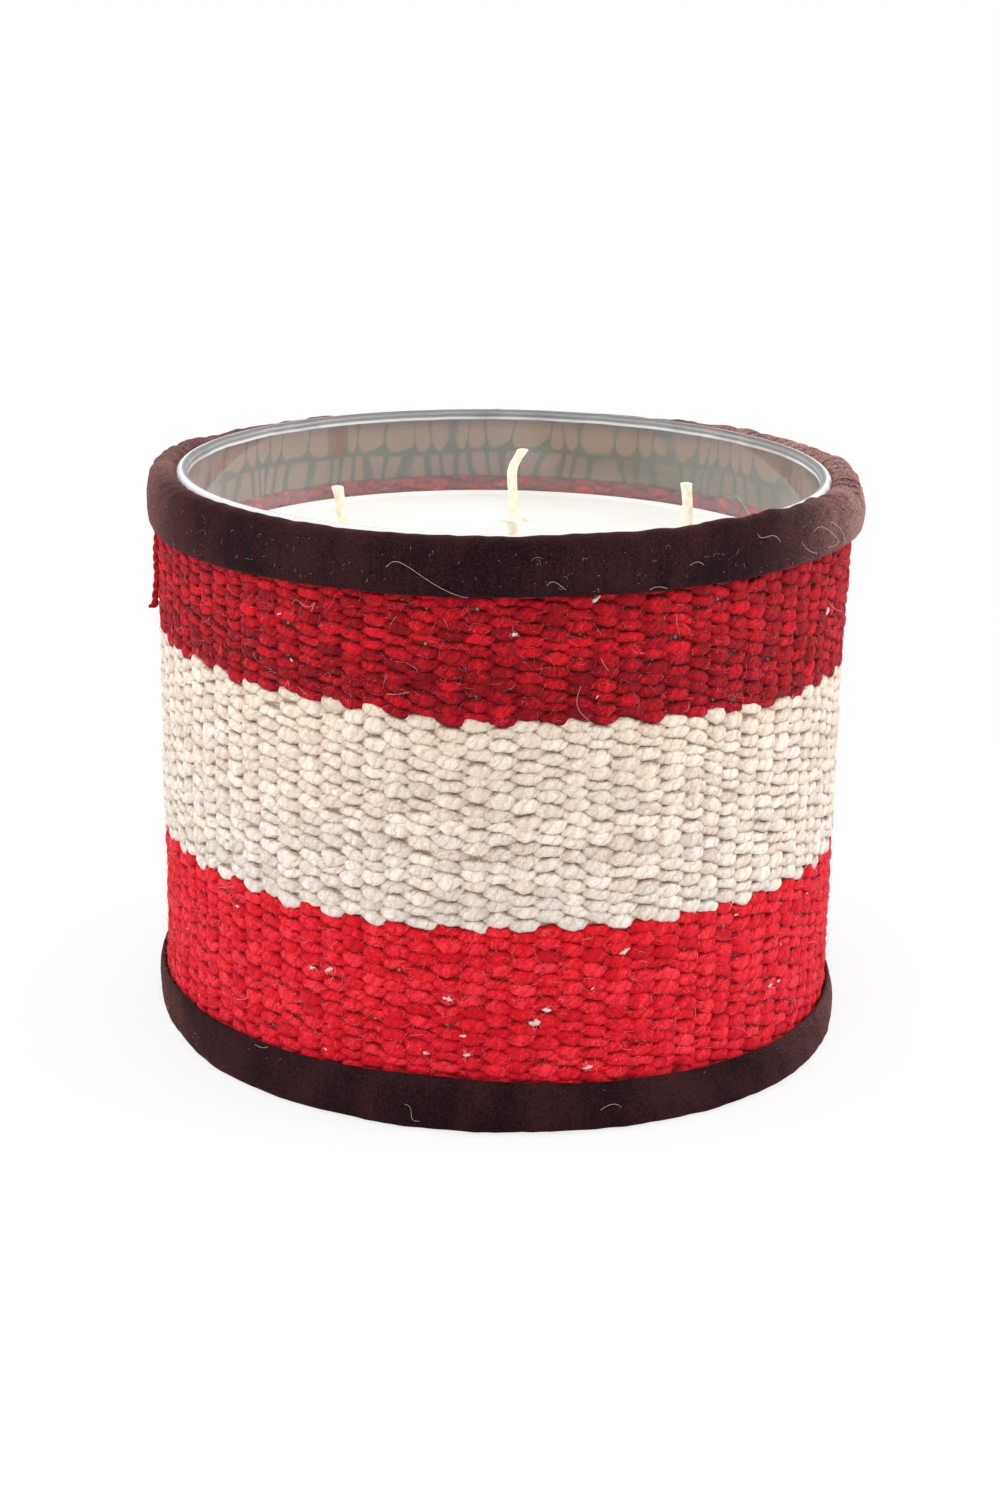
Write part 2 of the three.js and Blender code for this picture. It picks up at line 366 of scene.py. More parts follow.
@dataclass(frozen=True)
class ClearGlass(Finish):
    """Clear polished glass, which lets light through to what it holds, with painted lines and highlights where its
    rounded rim refracts and mirrors the light, and a faint painted reflection over all of it.
    """

    tint: Colour = (0.985, 0.995, 0.99)
    refraction: float = 1.53
    smear_roughness: float = 0.03
    top: float = 0.1524
    rim_middle: float = 0.0865
    rim_edge: float = 0.0001
    # Painted rim: grey bands, dark lines and a pale highlight line, by depth under the rim, stand in for the light
    # that the rim refracts and mirrors.
    painted_rim_lines: tuple[tuple[float, Colour], ...] = (
        (0.0, tone(150, 148, 146)),
        (0.1, tone(112, 108, 106)),
        (0.5, tone(128, 126, 125)),
        (0.9, tone(160, 160, 160)),
        (1.4, tone(132, 132, 132)),
        (1.9, tone(150, 151, 152)),
        (2.15, tone(214, 218, 222)),
        (2.7, tone(214, 218, 222)),
    )
    rim_end: float = 2.95
    rim_fade: float = 0.3
    rim_share: float = 0.8
    patchiness: float = 0.38
    ripple: float = 0.6
    # A painted pale halo on the rim's outer edge stands in for its reflection.
    halo: Colour = tone(240, 242, 244)
    halo_share: float = 0.9
    halo_depth: tuple[float, float] = (0.8, 1.6)
    # A faint share of the painted rim over all the glass: a painted reflection.
    reflection_haze: float = 0.05

    def make(self) -> bpy.types.Material:
        """Mixes clear glass, which casts no dark shadow on the wax, with painted lines, highlights and halo at its
        rim, and a faint painted reflection over all the glass.

        Returns:
            The material, in which depths are millimetres under the rim.
        """
        desk = self.desk(self.tint)
        clear = desk.node("BsdfPrincipled", {}, {
            "Base Color": self.tint,
            "Roughness": desk.step(desk.clouds(24.0), 0.62, 0.95) * self.smear_roughness,
            "IOR": self.refraction,
            "Transmission Weight": 1.0,
        })
        shade = desk.node("LightPath", {}, {}, "Is Shadow Ray")
        open_glass = desk.node("BsdfTransparent", {}, {"Color": self.tint})
        clear = desk.node("MixShader", {}, {0: shade, 1: clear, 2: open_glass})
        x, y, z = desk.node("TexCoord", {}, {}, "Object").split()
        outside = desk.step(
            desk.maths("SQRT", x * x + y * y), self.rim_middle - self.rim_edge, self.rim_middle + self.rim_edge
        )
        depth = (self.top - z) / MM + self.ripple * (desk.clouds(70.0, upright=0.2) - 0.5)
        stops = [(place / self.rim_end, colour) for place, colour in self.painted_rim_lines]
        inner = desk.node("ValToRGB", {"stops": stops}, {0: depth / self.rim_end})
        # An opaque shader in the painted rim colours: painted refraction lines, a painted highlight line and the
        # painted halo.
        painted_rim_shader = desk.node("BsdfPrincipled", {}, {
            "Base Color": desk.blend(outside, inner, self.halo),
            "Roughness": 0.4,
            "Specular IOR Level": 0.12,
        })
        patches = desk.step(desk.clouds(38.0, 3.0, 0.6, upright=0.1), 0.36, 0.56)
        reach = 1.0 - desk.step(depth, self.rim_end - self.rim_fade, self.rim_end)
        reach = reach * (1.0 - self.patchiness + self.patchiness * patches)
        outer_reach = self.halo_share * (1.0 - desk.step(depth, *self.halo_depth))
        rim = desk.maths("MAXIMUM", reach * (1.0 - outside), outer_reach * outside)
        # The painted rim, and a faint painted reflection everywhere, mixed over the clear glass.
        desk.end(desk.node("MixShader", {}, {0: rim * self.rim_share + self.reflection_haze, 1: clear, 2: painted_rim_shader}))
        return desk.owner


@dataclass(frozen=True)
class PouredWax(Finish):
    """Pale poured wax with a satin skin and a little light inside it."""

    colour: Colour = tone(245, 244, 240)
    shaded: Colour = tone(240, 237, 230)

    def make(self) -> bpy.types.Material:
        """Mixes faint cooling clouds and frosting.

        Returns:
            The material.
        """
        desk = self.desk(self.colour)
        frosting, pores = desk.clouds(60.0, 4.0), desk.clouds(900.0)
        return desk.coated({
            "Base Color": desk.blend(desk.step(frosting, 0.3, 0.75), self.colour, self.shaded),
            "Roughness": 0.34 + 0.2 * frosting,
            "IOR": 1.44,
            "Subsurface Weight": 0.25,
            "Subsurface Radius": (0.006, 0.005, 0.004),
            "Subsurface Scale": 0.5,
            "Normal": desk.bump(frosting + 0.15 * pores, 0.25, 0.0006),
        })


@dataclass(frozen=True)
class WaxedBraid(Finish):
    """Braided cotton that has been dipped in wax."""

    pale: Colour = tone(250, 243, 222)
    # Painted shade between the strands of the braid.
    deep: Colour = tone(240, 226, 192)

    def make(self) -> bpy.types.Material:
        """Paints shade on the waxed cotton between its strands.

        Returns:
            The material.
        """
        desk = self.desk(self.pale)
        threads = desk.clouds(2600.0, upright=0.35)
        # The crest, with threads, keeps the strands' crests pale and paints shade between them.
        crown = desk.attribute("crest") + 0.5 * threads
        return desk.coated({
            "Base Color": desk.blend(desk.step(crown, 0.3, 1.1), self.deep, self.pale),
            "Roughness": 0.5,
            "Subsurface Weight": 0.12,
            "Subsurface Radius": (0.002, 0.0014, 0.0008),
            "Coat Weight": 0.12,
            "Coat Roughness": 0.4,
            "Normal": desk.bump(threads, 0.5, 0.00012),
        })


@dataclass(frozen=True)
class TinPlate(Finish):
    """Pressed, tin-plated steel."""

    colour: Colour = (0.62, 0.63, 0.65)
    dull: Colour = (0.4, 0.4, 0.41)

    def make(self) -> bpy.types.Material:
        """Draws fine lines and a few dull spots on the plated steel.

        Returns:
            The material.
        """
        desk = self.desk(self.colour)
        grain = desk.noise(desk.placed("Object", (1, 12, 1)), 700.0, 3.0)
        return desk.coated({
            "Base Color": desk.blend(desk.step(desk.clouds(300.0), 0.55, 0.8), self.colour, self.dull),
            "Metallic": 1.0,
            "Roughness": 0.22 + 0.3 * grain,
            "Normal": desk.bump(grain, 0.2, 0.0001),
        })


@dataclass(frozen=True)
class HotGlue(Finish):
    """A set dot of hot-melt glue."""

    colour: Colour = tone(233, 228, 210)
    cloudy: Colour = tone(214, 205, 180)

    def make(self) -> bpy.types.Material:
        """Clouds the glue like milk, under a satin skin.

        Returns:
            The material.
        """
        desk = self.desk(self.colour)
        milk = desk.clouds(350.0, 3.0)
        return desk.coated({
            "Base Color": desk.blend(milk, self.colour, self.cloudy),
            "Roughness": 0.3 + 0.25 * milk,
            "Subsurface Weight": 0.3,
            "Subsurface Radius": (0.003, 0.002, 0.0015),
            "Normal": desk.bump(milk, 0.3, 0.0004),
        })


@dataclass(frozen=True)
class WovenWool(Finish):
    """Hand-spun, two-ply wool, seen on the crowns of a weft-faced weave."""

    # Painted shade colour: for the gaps between the crowns, the grooves between plies and the low, darker parts of
    # the bumps.
    gap: Colour
    first: Colour
    second: Colour
    # Lighter tone of the yarn, which also paints a highlight on the crowns.
    bright: Colour
    sheen: Colour
    sheen_weight: float = 0.4
    ply_shade: float = 0.36
    girth: float = 0.008
    ply_pitch: float = 0.0064

    def make(self) -> bpy.types.Material:
        """Draws twisted plies and loose fibres along them, with painted shade in the uneven gaps between the crowns
        and in the grooves between the plies, and painted highlights on the crowns.

        Returns:
            The material, which reads the yarn's UV map and its lot, tone and crest.
        """
        desk = self.desk(self.first)
        along, around, _ = desk.node("TexCoord", {}, {}, "UV").split()
        places = desk.placed("Object", (1, 1, 1.4))
        patches, lint = desk.noise(places, 55.0) - 0.5, desk.noise(places, 1100.0, 3.0, 0.7) - 0.5
        turns = around / self.girth - along / self.ply_pitch + 0.5 * (desk.noise(places, 420.0, 1.0) - 0.5)
        fibres = desk.noise(desk.join(along * 420.0, turns * 16.0), 1.0, 3.0, 0.7)
        strands = desk.noise(desk.join(along * 170.0, turns * 5.0, 3.0), 1.0)
        ply = desk.maths("ABSOLUTE", desk.maths("COSINE", turns * (2 * math.pi)))
        groove = 1.0 - desk.step(ply + 1.2 * (fibres - 0.5), 0.0, 0.62)
        crest = desk.attribute("crest")
        level = desk.attribute("tone") + 3.6 * (fibres - 0.5) + 2.6 * (strands - 0.5) + 3.0 * lint
        # The crest term lightens the crowns and darkens their flanks: painted highlight and painted shade over the
        # random tone.
        level = level + 0.6 * (crest - 0.6)
        base = desk.blend(desk.clamp(desk.attribute("lot") + 0.7 * patches), self.first, self.second)
        dyed = desk.blend(desk.step(level, -0.4, 1.3) * 0.9, base, self.bright)
        # Painted shade where the level is low, partly random darker bumps.
        dyed = desk.blend(desk.step(0.0 - level, 0.1, 1.5) * 0.6, dyed, self.gap)
        # Painted shade in the grooves between the plies.
        dyed = desk.blend(groove * self.ply_shade, dyed, self.gap)
        # Mask of painted shade in the gaps between the crowns, read from the crest.
        gap_shade_mask = crest + 0.9 * lint + 0.5 * (fibres - 0.5)
        pile = ply * 0.6 + fibres * 0.8 + lint * 0.5
        return desk.coated({
            "Base Color": desk.blend(desk.step(gap_shade_mask, -0.05, 0.34), self.gap, dyed),
            "Roughness": 0.88,
            "Specular IOR Level": 0.2,
            "Sheen Weight": self.sheen_weight,
            "Sheen Roughness": 0.3,
            "Sheen Tint": (*self.sheen, 1.0),
            "Normal": desk.bump(pile, 0.8, 0.0005),
        })


@dataclass(frozen=True)
class LooseFibre(Finish):
    """Fibres that stand off the yarn, in the colour of the band that each one grows from."""

    colours: tuple[Colour, ...]
    pale: Colour = (0.9, 0.85, 0.82)
    pale_share: float = 0.3

    def make(self) -> bpy.types.Material:
        """Steps through the colours by the lot attribute.

        Returns:
            The material.
        """
        desk = self.desk(self.colours[0])
        stops = [(index / len(self.colours), colour) for index, colour in enumerate(self.colours)]
        ramp = desk.node("ValToRGB", {"stops": stops, "stepped": True}, {0: desk.attribute("lot")})
        return desk.coated({
            "Base Color": desk.blend(desk.clouds(500.0) * self.pale_share, ramp, self.pale),
            "Roughness": 0.6,
            "Sheen Weight": 0.3,
            "Sheen Roughness": 0.5,
        })


@dataclass(frozen=True)
class CottonVelvet(Finish):
    """Aubergine cotton velvet, almost black face on, paler at its sides with brushed pile and painted sheen, and on
    its inner leg pale where pressed on the glass, with painted reflection and painted shade.
    """

    pile: Colour = tone(16, 6, 9)
    raised: Colour = tone(54, 28, 30)
    # Paler, brushed pile at the sides, with painted sheen.
    wear_and_sheen: Colour = tone(188, 144, 139)
    # Pile pressed flat on the glass, paler, with the glass's reflection painted in.
    pressed: Colour = tone(132, 102, 84)
    # Painted shade, greenish through the glass: between the pressed patches, and in a thin dark line.
    crease_shade: Colour = tone(72, 73, 55)
    lapped: Colour = tone(112, 62, 42)
    sheen: Colour = tone(225, 140, 132)
    fold: float = 0.1518
    round_inside: float = 553.0
    round_outside: float = 600.0
    dark_line: float = 50.4
    lap_ends: tuple[float, float] = (10.5, 12.0)
    broad_marks: int = 78
    narrow_marks: int = 101

    def _around(self, desk: NodeDesk) -> tuple[Wire, Wire]:
        """Returns the share of a turn round the candle and the depth under the upper fold in millimetres."""
        x, y, z = desk.node("TexCoord", {}, {}, "Object").split()
        return desk.maths("ARCTAN2", x, y) / (2 * math.pi), (self.fold - z) / MM

    def _pleats(self, desk: NodeDesk) -> Wire:
        """Draws fine, slanting pleats beside the upper fold, where the strip is gathered.

        Args:
            desk: The velvet's desk.

        Returns:
            The height of the pleats.
        """
        share, down = self._around(desk)
        length = self.round_outside * share
        slant = desk.join(0.5 * length + 0.45 * down + 2.0 * desk.clouds(60.0, 1.0), 0.05 * down, 1.0)
        fade = 1.0 - desk.step(down, 1.0, 9.0)
        return (desk.noise(slant, 1.0) - 0.5) * desk.attribute("wear_and_sheen") * fade

    def _off_middle(self, desk: NodeDesk, count: int, shift: float) -> Wire:
        """Measures how far each place lies from the middle of its mark.

        Args:
            desk: The velvet's desk.
            count: How many marks there are in a turn.
            shift: How far they are turned, as a share of a mark.

        Returns:
            The distance, 1 between two marks.
        """
        drift = desk.clouds(50.0, upright=0.4) - 0.5
        place = desk.maths("FRACT", self._around(desk)[0] * count + 5.0 * drift + shift)
        return desk.maths("ABSOLUTE", place * 2.0 - 1.0)

    def _marks(self, desk: NodeDesk) -> Wire:
        """Works out how hard the inner leg is pressed on the glass: broad, rounded patches above narrow ones.

        Args:
            desk: The velvet's desk.

        Returns:
            The share of the pressed colour.
        """
        down = self._around(desk)[1]
        broad, narrow = self._off_middle(desk, self.broad_marks, 0.0), self._off_middle(desk, self.narrow_marks, 0.3)
        split = 11.6 + 5.0 * (desk.clouds(26.0, 1.0, upright=0.2) - 0.5)
        upper = desk.step(split - 3.4 * broad * broad - down, -0.7, 0.9) * (1.0 - 0.75 * desk.step(broad, 0.72, 1.0))
        lower = desk.step(down - split - 0.9, -0.3, 0.9) * (1.0 - desk.step(narrow, 0.42, 0.85))
        thin = desk.step(desk.clouds(21.0, 1.0), 0.3, 0.5)
        return desk.maths("MAXIMUM", upper * (0.8 + 0.2 * thin), 0.8 * lower * (0.45 + 0.55 * thin))

    def make(self) -> bpy.types.Material:
        """Draws a speckled pile with faint wales, paler where it turns with brushed pile and painted sheen, and the
        marks of the glass on its inner leg with painted reflection and painted shade.

        Returns:
            The material, which reads the strip's wear_and_sheen, inside and lapped attributes.
        """
        desk = self.desk(self.pile)
        tufts = desk.clouds(2100.0, 3.0, 0.7, upright=0.8)
        wales = desk.clouds(900.0, upright=0.12)
        swept = desk.clouds(75.0, 3.0, upright=0.6)
        pleats = self._pleats(desk)
        share, down = self._around(desk)
        above = 1.0 - desk.step(down, *self.lap_ends)
        off_line = desk.maths("ABSOLUTE", share * self.round_inside + self.dark_line)
        raised = desk.step(0.55 * tufts + 0.1 * wales + 0.35 * swept, 0.38, 0.64)
        # Mask of the paler pile and painted sheen, along tufts and pleat ridges.
        wear_sheen_mask = desk.step(tufts + 0.4 * (swept - 0.5) + 0.6 * pleats, 0.22, 0.78)
        blotch = desk.clamp(self._marks(desk) + 0.5 * (swept - 0.5) + 0.2 * (tufts - 0.5))
        colour = desk.blend(raised, self.pile, self.raised)
        # The sides: brushed pile and painted sheen.
        colour = desk.blend(desk.attribute("wear_and_sheen") * wear_sheen_mask, colour, self.wear_and_sheen)
        # Inner leg: pressed patches with a painted reflection, and painted shade between them.
        colour = desk.blend(desk.attribute("inside"), colour, desk.blend(blotch, self.crease_shade, self.pressed))
        # A thin dark line on the inner leg, in the painted shade colour.
        colour = desk.blend((1.0 - desk.step(off_line, 0.5, 1.1)) * above * 0.7, colour, self.crease_shade)
        return desk.coated({
            "Base Color": desk.blend(desk.attribute("lapped") * above, colour, self.lapped),
            "Roughness": 0.95,
            "Specular IOR Level": 0.08,
            "Sheen Weight": 0.22,
            "Sheen Roughness": 0.25,
            "Sheen Tint": (*self.sheen, 1.0),
            "Normal": desk.bump(tufts, 0.7, 0.0004, desk.bump(swept * 0.3 + pleats * 1.8, 1.0, 0.0008)),
        })


@dataclass(frozen=True)
class LinenThread(Finish):
    """Waxed linen thread."""

    colour: Colour = tone(205, 188, 160)
    deep: Colour = tone(160, 140, 108)

    def make(self) -> bpy.types.Material:
        """Draws fine lengthwise fibres on the linen.

        Returns:
            The material.
        """
        desk = self.desk(self.colour)
        fibres = desk.noise(desk.placed("UV", (900.0, 5200.0, 1.0)), 1.0)
        return desk.coated({
            "Base Color": desk.blend(fibres, self.deep, self.colour),
            "Roughness": 0.6,
            "Normal": desk.bump(fibres, 0.5, 0.0001),
        })


@dataclass(frozen=True)
class PaleFloor(Finish):
    """A pale studio floor that keeps the candle's shadow."""

    colour: Colour = (0.86, 0.86, 0.86)
    lift: float = 0.78
    clear_from: float = 0.12
    clear_to: float = 0.42

    def make(self) -> bpy.types.Material:
        """Lifts the floor's picture towards white while its shadow stays.

        Returns:
            The material.
        """
        desk = self.desk(self.colour)
        paper = desk.node("BsdfDiffuse", {}, {"Color": self.colour})
        white = desk.node("Emission", {}, {"Color": (1.0, 1.0, 1.0), "Strength": 1.0})
        seen = desk.node("LightPath", {}, {}, "Is Camera Ray")
        places = desk.node("TexCoord", {}, {}, "Object")
        away = desk.node("VectorMath", {"operation": "LENGTH"}, {0: places}, "Value")
        lift = self.lift + (1 - self.lift) * desk.step(away, self.clear_from, self.clear_to)
        desk.end(desk.node("MixShader", {}, {0: seen * lift, 1: paper, 2: white}))
        return desk.owner


# Modelling


class Bench:
    """The modelling steps that several pieces share, done with Blender's own operators."""

    @staticmethod
    def clear() -> None:
        """Leaves edit mode and deselects everything."""
        if bpy.context.object and bpy.context.object.mode != "OBJECT":
            bpy.ops.object.mode_set(mode="OBJECT")
        bpy.ops.object.select_all(action="DESELECT")

    @staticmethod
    def pick(piece: bpy.types.Object) -> None:
        """Makes the piece the only selected one and the active one.

        Args:
            piece: The piece.
        """
        Bench.clear()
        piece.select_set(True)
        bpy.context.view_layer.objects.active = piece

    @staticmethod
    def spun(
        name: str,
        profile: Profile,
        steps: int,
        closed: bool = True,
        start: float = 0.0,
        sweep: float = 360.0,
    ) -> bpy.types.Object:
        """Draws a profile point by point and spins it about the upright axis.

        Args:
            name: The piece's name.
            profile: Radius and height of each point, in millimetres.
            steps: How many steps the spin has.
            closed: Whether the last point joins the first one.
            start: The turn at which the spin starts.
            sweep: The degrees that the spin covers.

        Returns:
            The piece, with its doubles merged and its faces outwards.
        """
        turn = math.radians(start)
        points = [Vector((r * MM * math.cos(turn), r * MM * math.sin(turn), z * MM)) for r, z in profile]
        if closed:
            points.append(points[0])
        Bench.clear()
        bpy.ops.mesh.primitive_plane_add(size=MM)
        piece = bpy.context.object
        piece.name = piece.data.name = name
        bpy.ops.object.mode_set(mode="EDIT")
        bpy.ops.mesh.merge(type="CENTER")
        bpy.ops.transform.translate(value=points[0])
        for here, there in zip(points, points[1:]):
            bpy.ops.mesh.extrude_vertices_move(TRANSFORM_OT_translate={"value": there - here})
        bpy.ops.mesh.select_all(action="SELECT")
        bpy.ops.mesh.spin(steps=steps, angle=math.radians(sweep), center=(0, 0, 0), axis=(0, 0, 1))
        bpy.ops.mesh.select_all(action="SELECT")
        bpy.ops.mesh.remove_doubles(threshold=MM * 0.002)
        if sweep < 360:
            bpy.ops.mesh.select_all(action="DESELECT")
            bpy.ops.mesh.select_non_manifold()
            bpy.ops.mesh.fill_holes(sides=0)
            bpy.ops.mesh.select_all(action="SELECT")
        bpy.ops.mesh.normals_make_consistent(inside=False)
        bpy.ops.object.mode_set(mode="OBJECT")
        return piece

    @staticmethod
    def smooth(piece: bpy.types.Object, angle: float = 40.0) -> None:
        """Shades the piece smooth, apart from edges sharper than the angle."""
        Bench.pick(piece)
        bpy.ops.object.shade_smooth_by_angle(angle=math.radians(angle))

    @staticmethod
    def rounded(profile: Profile, rounds: int) -> Profile:
        """Cuts the corners of a closed profile again and again into a smooth curve.

        Args:
            profile: The corners.
            rounds: How often they are cut.

        Returns:
            The smooth profile.
        """
        points = np.array(profile, float)
        for _ in range(rounds):
            after = np.roll(points, -1, axis=0)
            points = np.stack([0.75 * points + 0.25 * after, 0.25 * points + 0.75 * after], 1).reshape(-1, 2)
        return [tuple(point) for point in points]

    @staticmethod
    def places(piece: bpy.types.Object) -> np.ndarray:
        """Returns the piece's vertices, in metres."""
        return Bench.read(piece, "co")

    @staticmethod
    def read(piece: bpy.types.Object, what: str) -> np.ndarray:
        """Reads a vector of each vertex.

        Args:
            piece: The piece.
            what: The vector's name in the mesh, such as co or normal.

        Returns:
            One row for each vertex.
        """
        values = np.zeros(len(piece.data.vertices) * 3, np.float32)
        piece.data.vertices.foreach_get(what, values)
        return values.reshape(-1, 3).astype(float)

    @staticmethod
    def set_places(piece: bpy.types.Object, points: np.ndarray) -> None:
        """Writes the piece's vertices, in metres."""
        piece.data.vertices.foreach_set("co", points.astype(np.float32).ravel())
        piece.data.update()

    @staticmethod
    def note(piece: bpy.types.Object, name: str, values: np.ndarray) -> None:
        """Gives each vertex a number that materials read by its name."""
        made = piece.data.attributes.new(name, "FLOAT", "POINT")
        made.data.foreach_set("value", values.astype(np.float32).ravel())

    @staticmethod
    def tubes(
        name: str,
        rings: np.ndarray,
        notes: Optional[dict[str, Any]] = None,
        lengths: Optional[np.ndarray] = None,
        girth: float = 8.0,
    ) -> bpy.types.Object:
        """Makes closed tubes from the rings that they pass through.

        Args:
            name: The piece's name.
            rings: Tubes by rings by points by three coordinates, in metres.
            notes: One number for all, or numbers for each vertex, tubes by rings by points.
            lengths: How far along its tube each ring is, in metres, tubes by rings.
            girth: The way round a tube in the UV map, in millimetres.

        Returns:
            The piece, with its faces outwards.
        """
        tubes, count, sides, _ = rings.shape
        index = np.arange(tubes * count * sides).reshape(tubes, count, sides)
        here, there = index[:, :-1], index[:, 1:]
        quads = np.stack([here, there, np.roll(there, -1, 2), np.roll(here, -1, 2)], -1).reshape(-1, 4)
        caps = np.concatenate([index[:, 0, ::-1], index[:, -1]])
        centre = rings[0].mean(1, keepdims=True)
        outward = rings[0][:-1] - centre[:-1]
        along = rings[0][1:] - rings[0][:-1]
        around = np.roll(rings[0], -1, 1)[:-1] - rings[0][:-1]
        if np.einsum("ijk,ijk->", np.cross(along, around), outward) < 0:
            quads, caps = quads[:, ::-1], caps[:, ::-1]
        caps = caps[:, ::-1] if Bench._cap_faces_in(rings[0], caps[0]) else caps
        mesh = bpy.data.meshes.new(name)
        mesh.vertices.add(index.size)
        mesh.vertices.foreach_set("co", rings.astype(np.float32).ravel())
        mesh.loops.add(quads.size + caps.size)
        mesh.loops.foreach_set("vertex_index", np.concatenate([quads.ravel(), caps.ravel()]).astype(np.int32))
        starts = np.concatenate([np.arange(len(quads)) * 4, quads.size + np.arange(len(caps)) * sides])
        mesh.polygons.add(len(starts))
        mesh.polygons.foreach_set("loop_start", starts.astype(np.int32))
        mesh.polygons.foreach_set("use_smooth", np.ones(len(starts), bool))
        mesh.update(calc_edges=True)
        mesh.validate()
        piece = bpy.data.objects.new(name, mesh)
        bpy.context.scene.collection.objects.link(piece)
        for note, values in (notes or {}).items():
            Bench.note(piece, note, np.broadcast_to(values, index.shape))
        if lengths is not None:
            Bench._lay_along(mesh, index, lengths, girth * MM)
        return piece

    @staticmethod
    def _cap_faces_in(rings: np.ndarray, cap: np.ndarray) -> bool:
        """Tests the first cap of the first tube.

        Args:
            rings: The tube's rings.
            cap: The cap's corners.

        Returns:
            Whether the cap looks into the tube.
        """
        points = rings.reshape(-1, 3)[cap]
        normal = np.cross(points[1] - points[0], points[2] - points[1])
        return float(normal @ (rings[1].mean(0) - rings[0].mean(0))) > 0

    @staticmethod
    def _lay_along(mesh: bpy.types.Mesh, index: np.ndarray, lengths: np.ndarray, girth: float) -> None:
        """Writes a UV map that runs along each tube and once round it, in metres.

        Args:
            mesh: The tubes' mesh.
            index: The number of each vertex, tubes by rings by points.
            lengths: How far along its tube each ring is.
            girth: The way round a tube.
        """
        tubes, count, sides = index.shape
        corner = np.zeros(len(mesh.loops), np.int32)
        mesh.loops.foreach_get("vertex_index", corner)
        side = corner % sides
        along = np.broadcast_to(lengths[..., None], index.shape).ravel()[corner]
        quads = tubes * (count - 1) * sides * 4
        faces = side[:quads].reshape(-1, 4)
        wraps = (faces.max(1) == sides - 1) & (faces.min(1) == 0)
        faces = np.where(wraps[:, None] & (faces == 0), sides, faces)
        side = np.concatenate([faces.ravel(), side[quads:]])
        offset = (corner // (sides * count)) * YARN_SHIFT
        layer = mesh.uv_layers.new(name="yarn")
        layer.data.foreach_set("uv", np.stack([along, side / sides * girth + offset], 1).astype(np.float32).ravel())

    @staticmethod
    def ringed(centres: np.ndarray, radii: np.ndarray, sides: int, twist: Optional[np.ndarray] = None) -> np.ndarray:
        """Lays a ring of points round each centre, square to its path.

        Args:
            centres: Tubes by rings by three coordinates.
            radii: The radius of each ring, tubes by rings.
            sides: How many points a ring has.
            twist: How far each ring is turned about its path, in radians.

        Returns:
            Tubes by rings by points by three coordinates.
        """
        along = np.gradient(centres, axis=1)
        along /= np.linalg.norm(along, axis=2, keepdims=True)
        guide = np.cross(along[:, :1], [0.31, 0.17, 0.93])
        guide = np.broadcast_to(guide, along.shape).copy()
        first = guide - along * np.einsum("ijk,ijk->ij", guide, along)[..., None]
        first /= np.linalg.norm(first, axis=2, keepdims=True)
        second = np.cross(along, first)
        angles = np.arange(sides) * 2 * math.pi / sides
        angles = angles + (0.0 if twist is None else twist[..., None])
        shape = radii[..., None, None]
        ring = np.cos(angles)[..., None] * first[:, :, None] + np.sin(angles)[..., None] * second[:, :, None]
        return centres[:, :, None] + shape * ring

    @staticmethod
    def hairs(
        dice: np.random.Generator,
        roots: np.ndarray,
        ways: np.ndarray,
        lengths: np.ndarray,
        curl: float,
        thickness: float,
        segments: int,
    ) -> np.ndarray:
        """Grows curling hairs from their roots.

        Args:
            dice: The seeded source.
            roots: Where each hair starts, in metres.
            ways: The direction in which each hair starts.
            lengths: Each hair's length, in metres.
            curl: How far a hair turns over its length, in radians.
            thickness: The hair's thickness, in millimetres.
            segments: How many segments a hair has.

        Returns:
            The rings of the hairs, three points to a ring.
        """
        count = len(roots)
        axis = dice.standard_normal((count, 3))
        axis /= np.linalg.norm(axis, axis=1, keepdims=True)
        turn = curl * dice.normal(1.0, 0.5, (count, 1)) / segments
        way = ways / np.linalg.norm(ways, axis=1, keepdims=True)
        places = [roots]
        for _ in range(segments):
            places.append(places[-1] + way * (lengths / segments)[:, None])
            way = way * np.cos(turn) + np.cross(axis, way) * np.sin(turn)
            axis = axis + 0.25 * dice.standard_normal((count, 3))
            axis /= np.linalg.norm(axis, axis=1, keepdims=True)
            way /= np.linalg.norm(way, axis=1, keepdims=True)
        centres = np.stack(places, 1)
        centres[..., 2] = np.maximum(centres[..., 2], CLEAR_OF_TABLE * MM)
        taper = np.linspace(1.0, 0.45, segments + 1) * thickness * MM / 2
        return Bench.ringed(centres, np.broadcast_to(taper, centres.shape[:2]), 3)


@dataclass(frozen=True)
class Stray:
    """One long hair that clings to the sleeve, given by arcs from the front and heights, in millimetres."""

    route: tuple[tuple[float, float], ...]
    radius: float

    @staticmethod
    def tubes(name: str, strays: "Sequence[Stray]") -> bpy.types.Object:
        """Returns the hairs as one piece."""
        return Bench.tubes(name, np.concatenate([stray.rings() for stray in strays]), {"lot": FIRST_LOT})

    def rings(self, steps: int = 28) -> np.ndarray:
        """Draws the hair as one smooth curve through its route.

        Args:
            steps: How many rings it has.

        Returns:
            Its rings, in metres.
        """
        route = np.array(self.route, float)
        knots = np.linspace(0, 1, len(route))
        share = np.linspace(0, 1, steps)
        bend = np.polynomial.polynomial.polyfit(knots, route, min(4, len(route) - 1))
        arc, height = np.polynomial.polynomial.polyval(share, bend)
        path = all_round(self.radius, np.radians(FRONT) + arc / self.radius, height)[None] * MM
        return Bench.ringed(path, np.full((1, steps), HAIR_THICKNESS * MM / 2), 4)


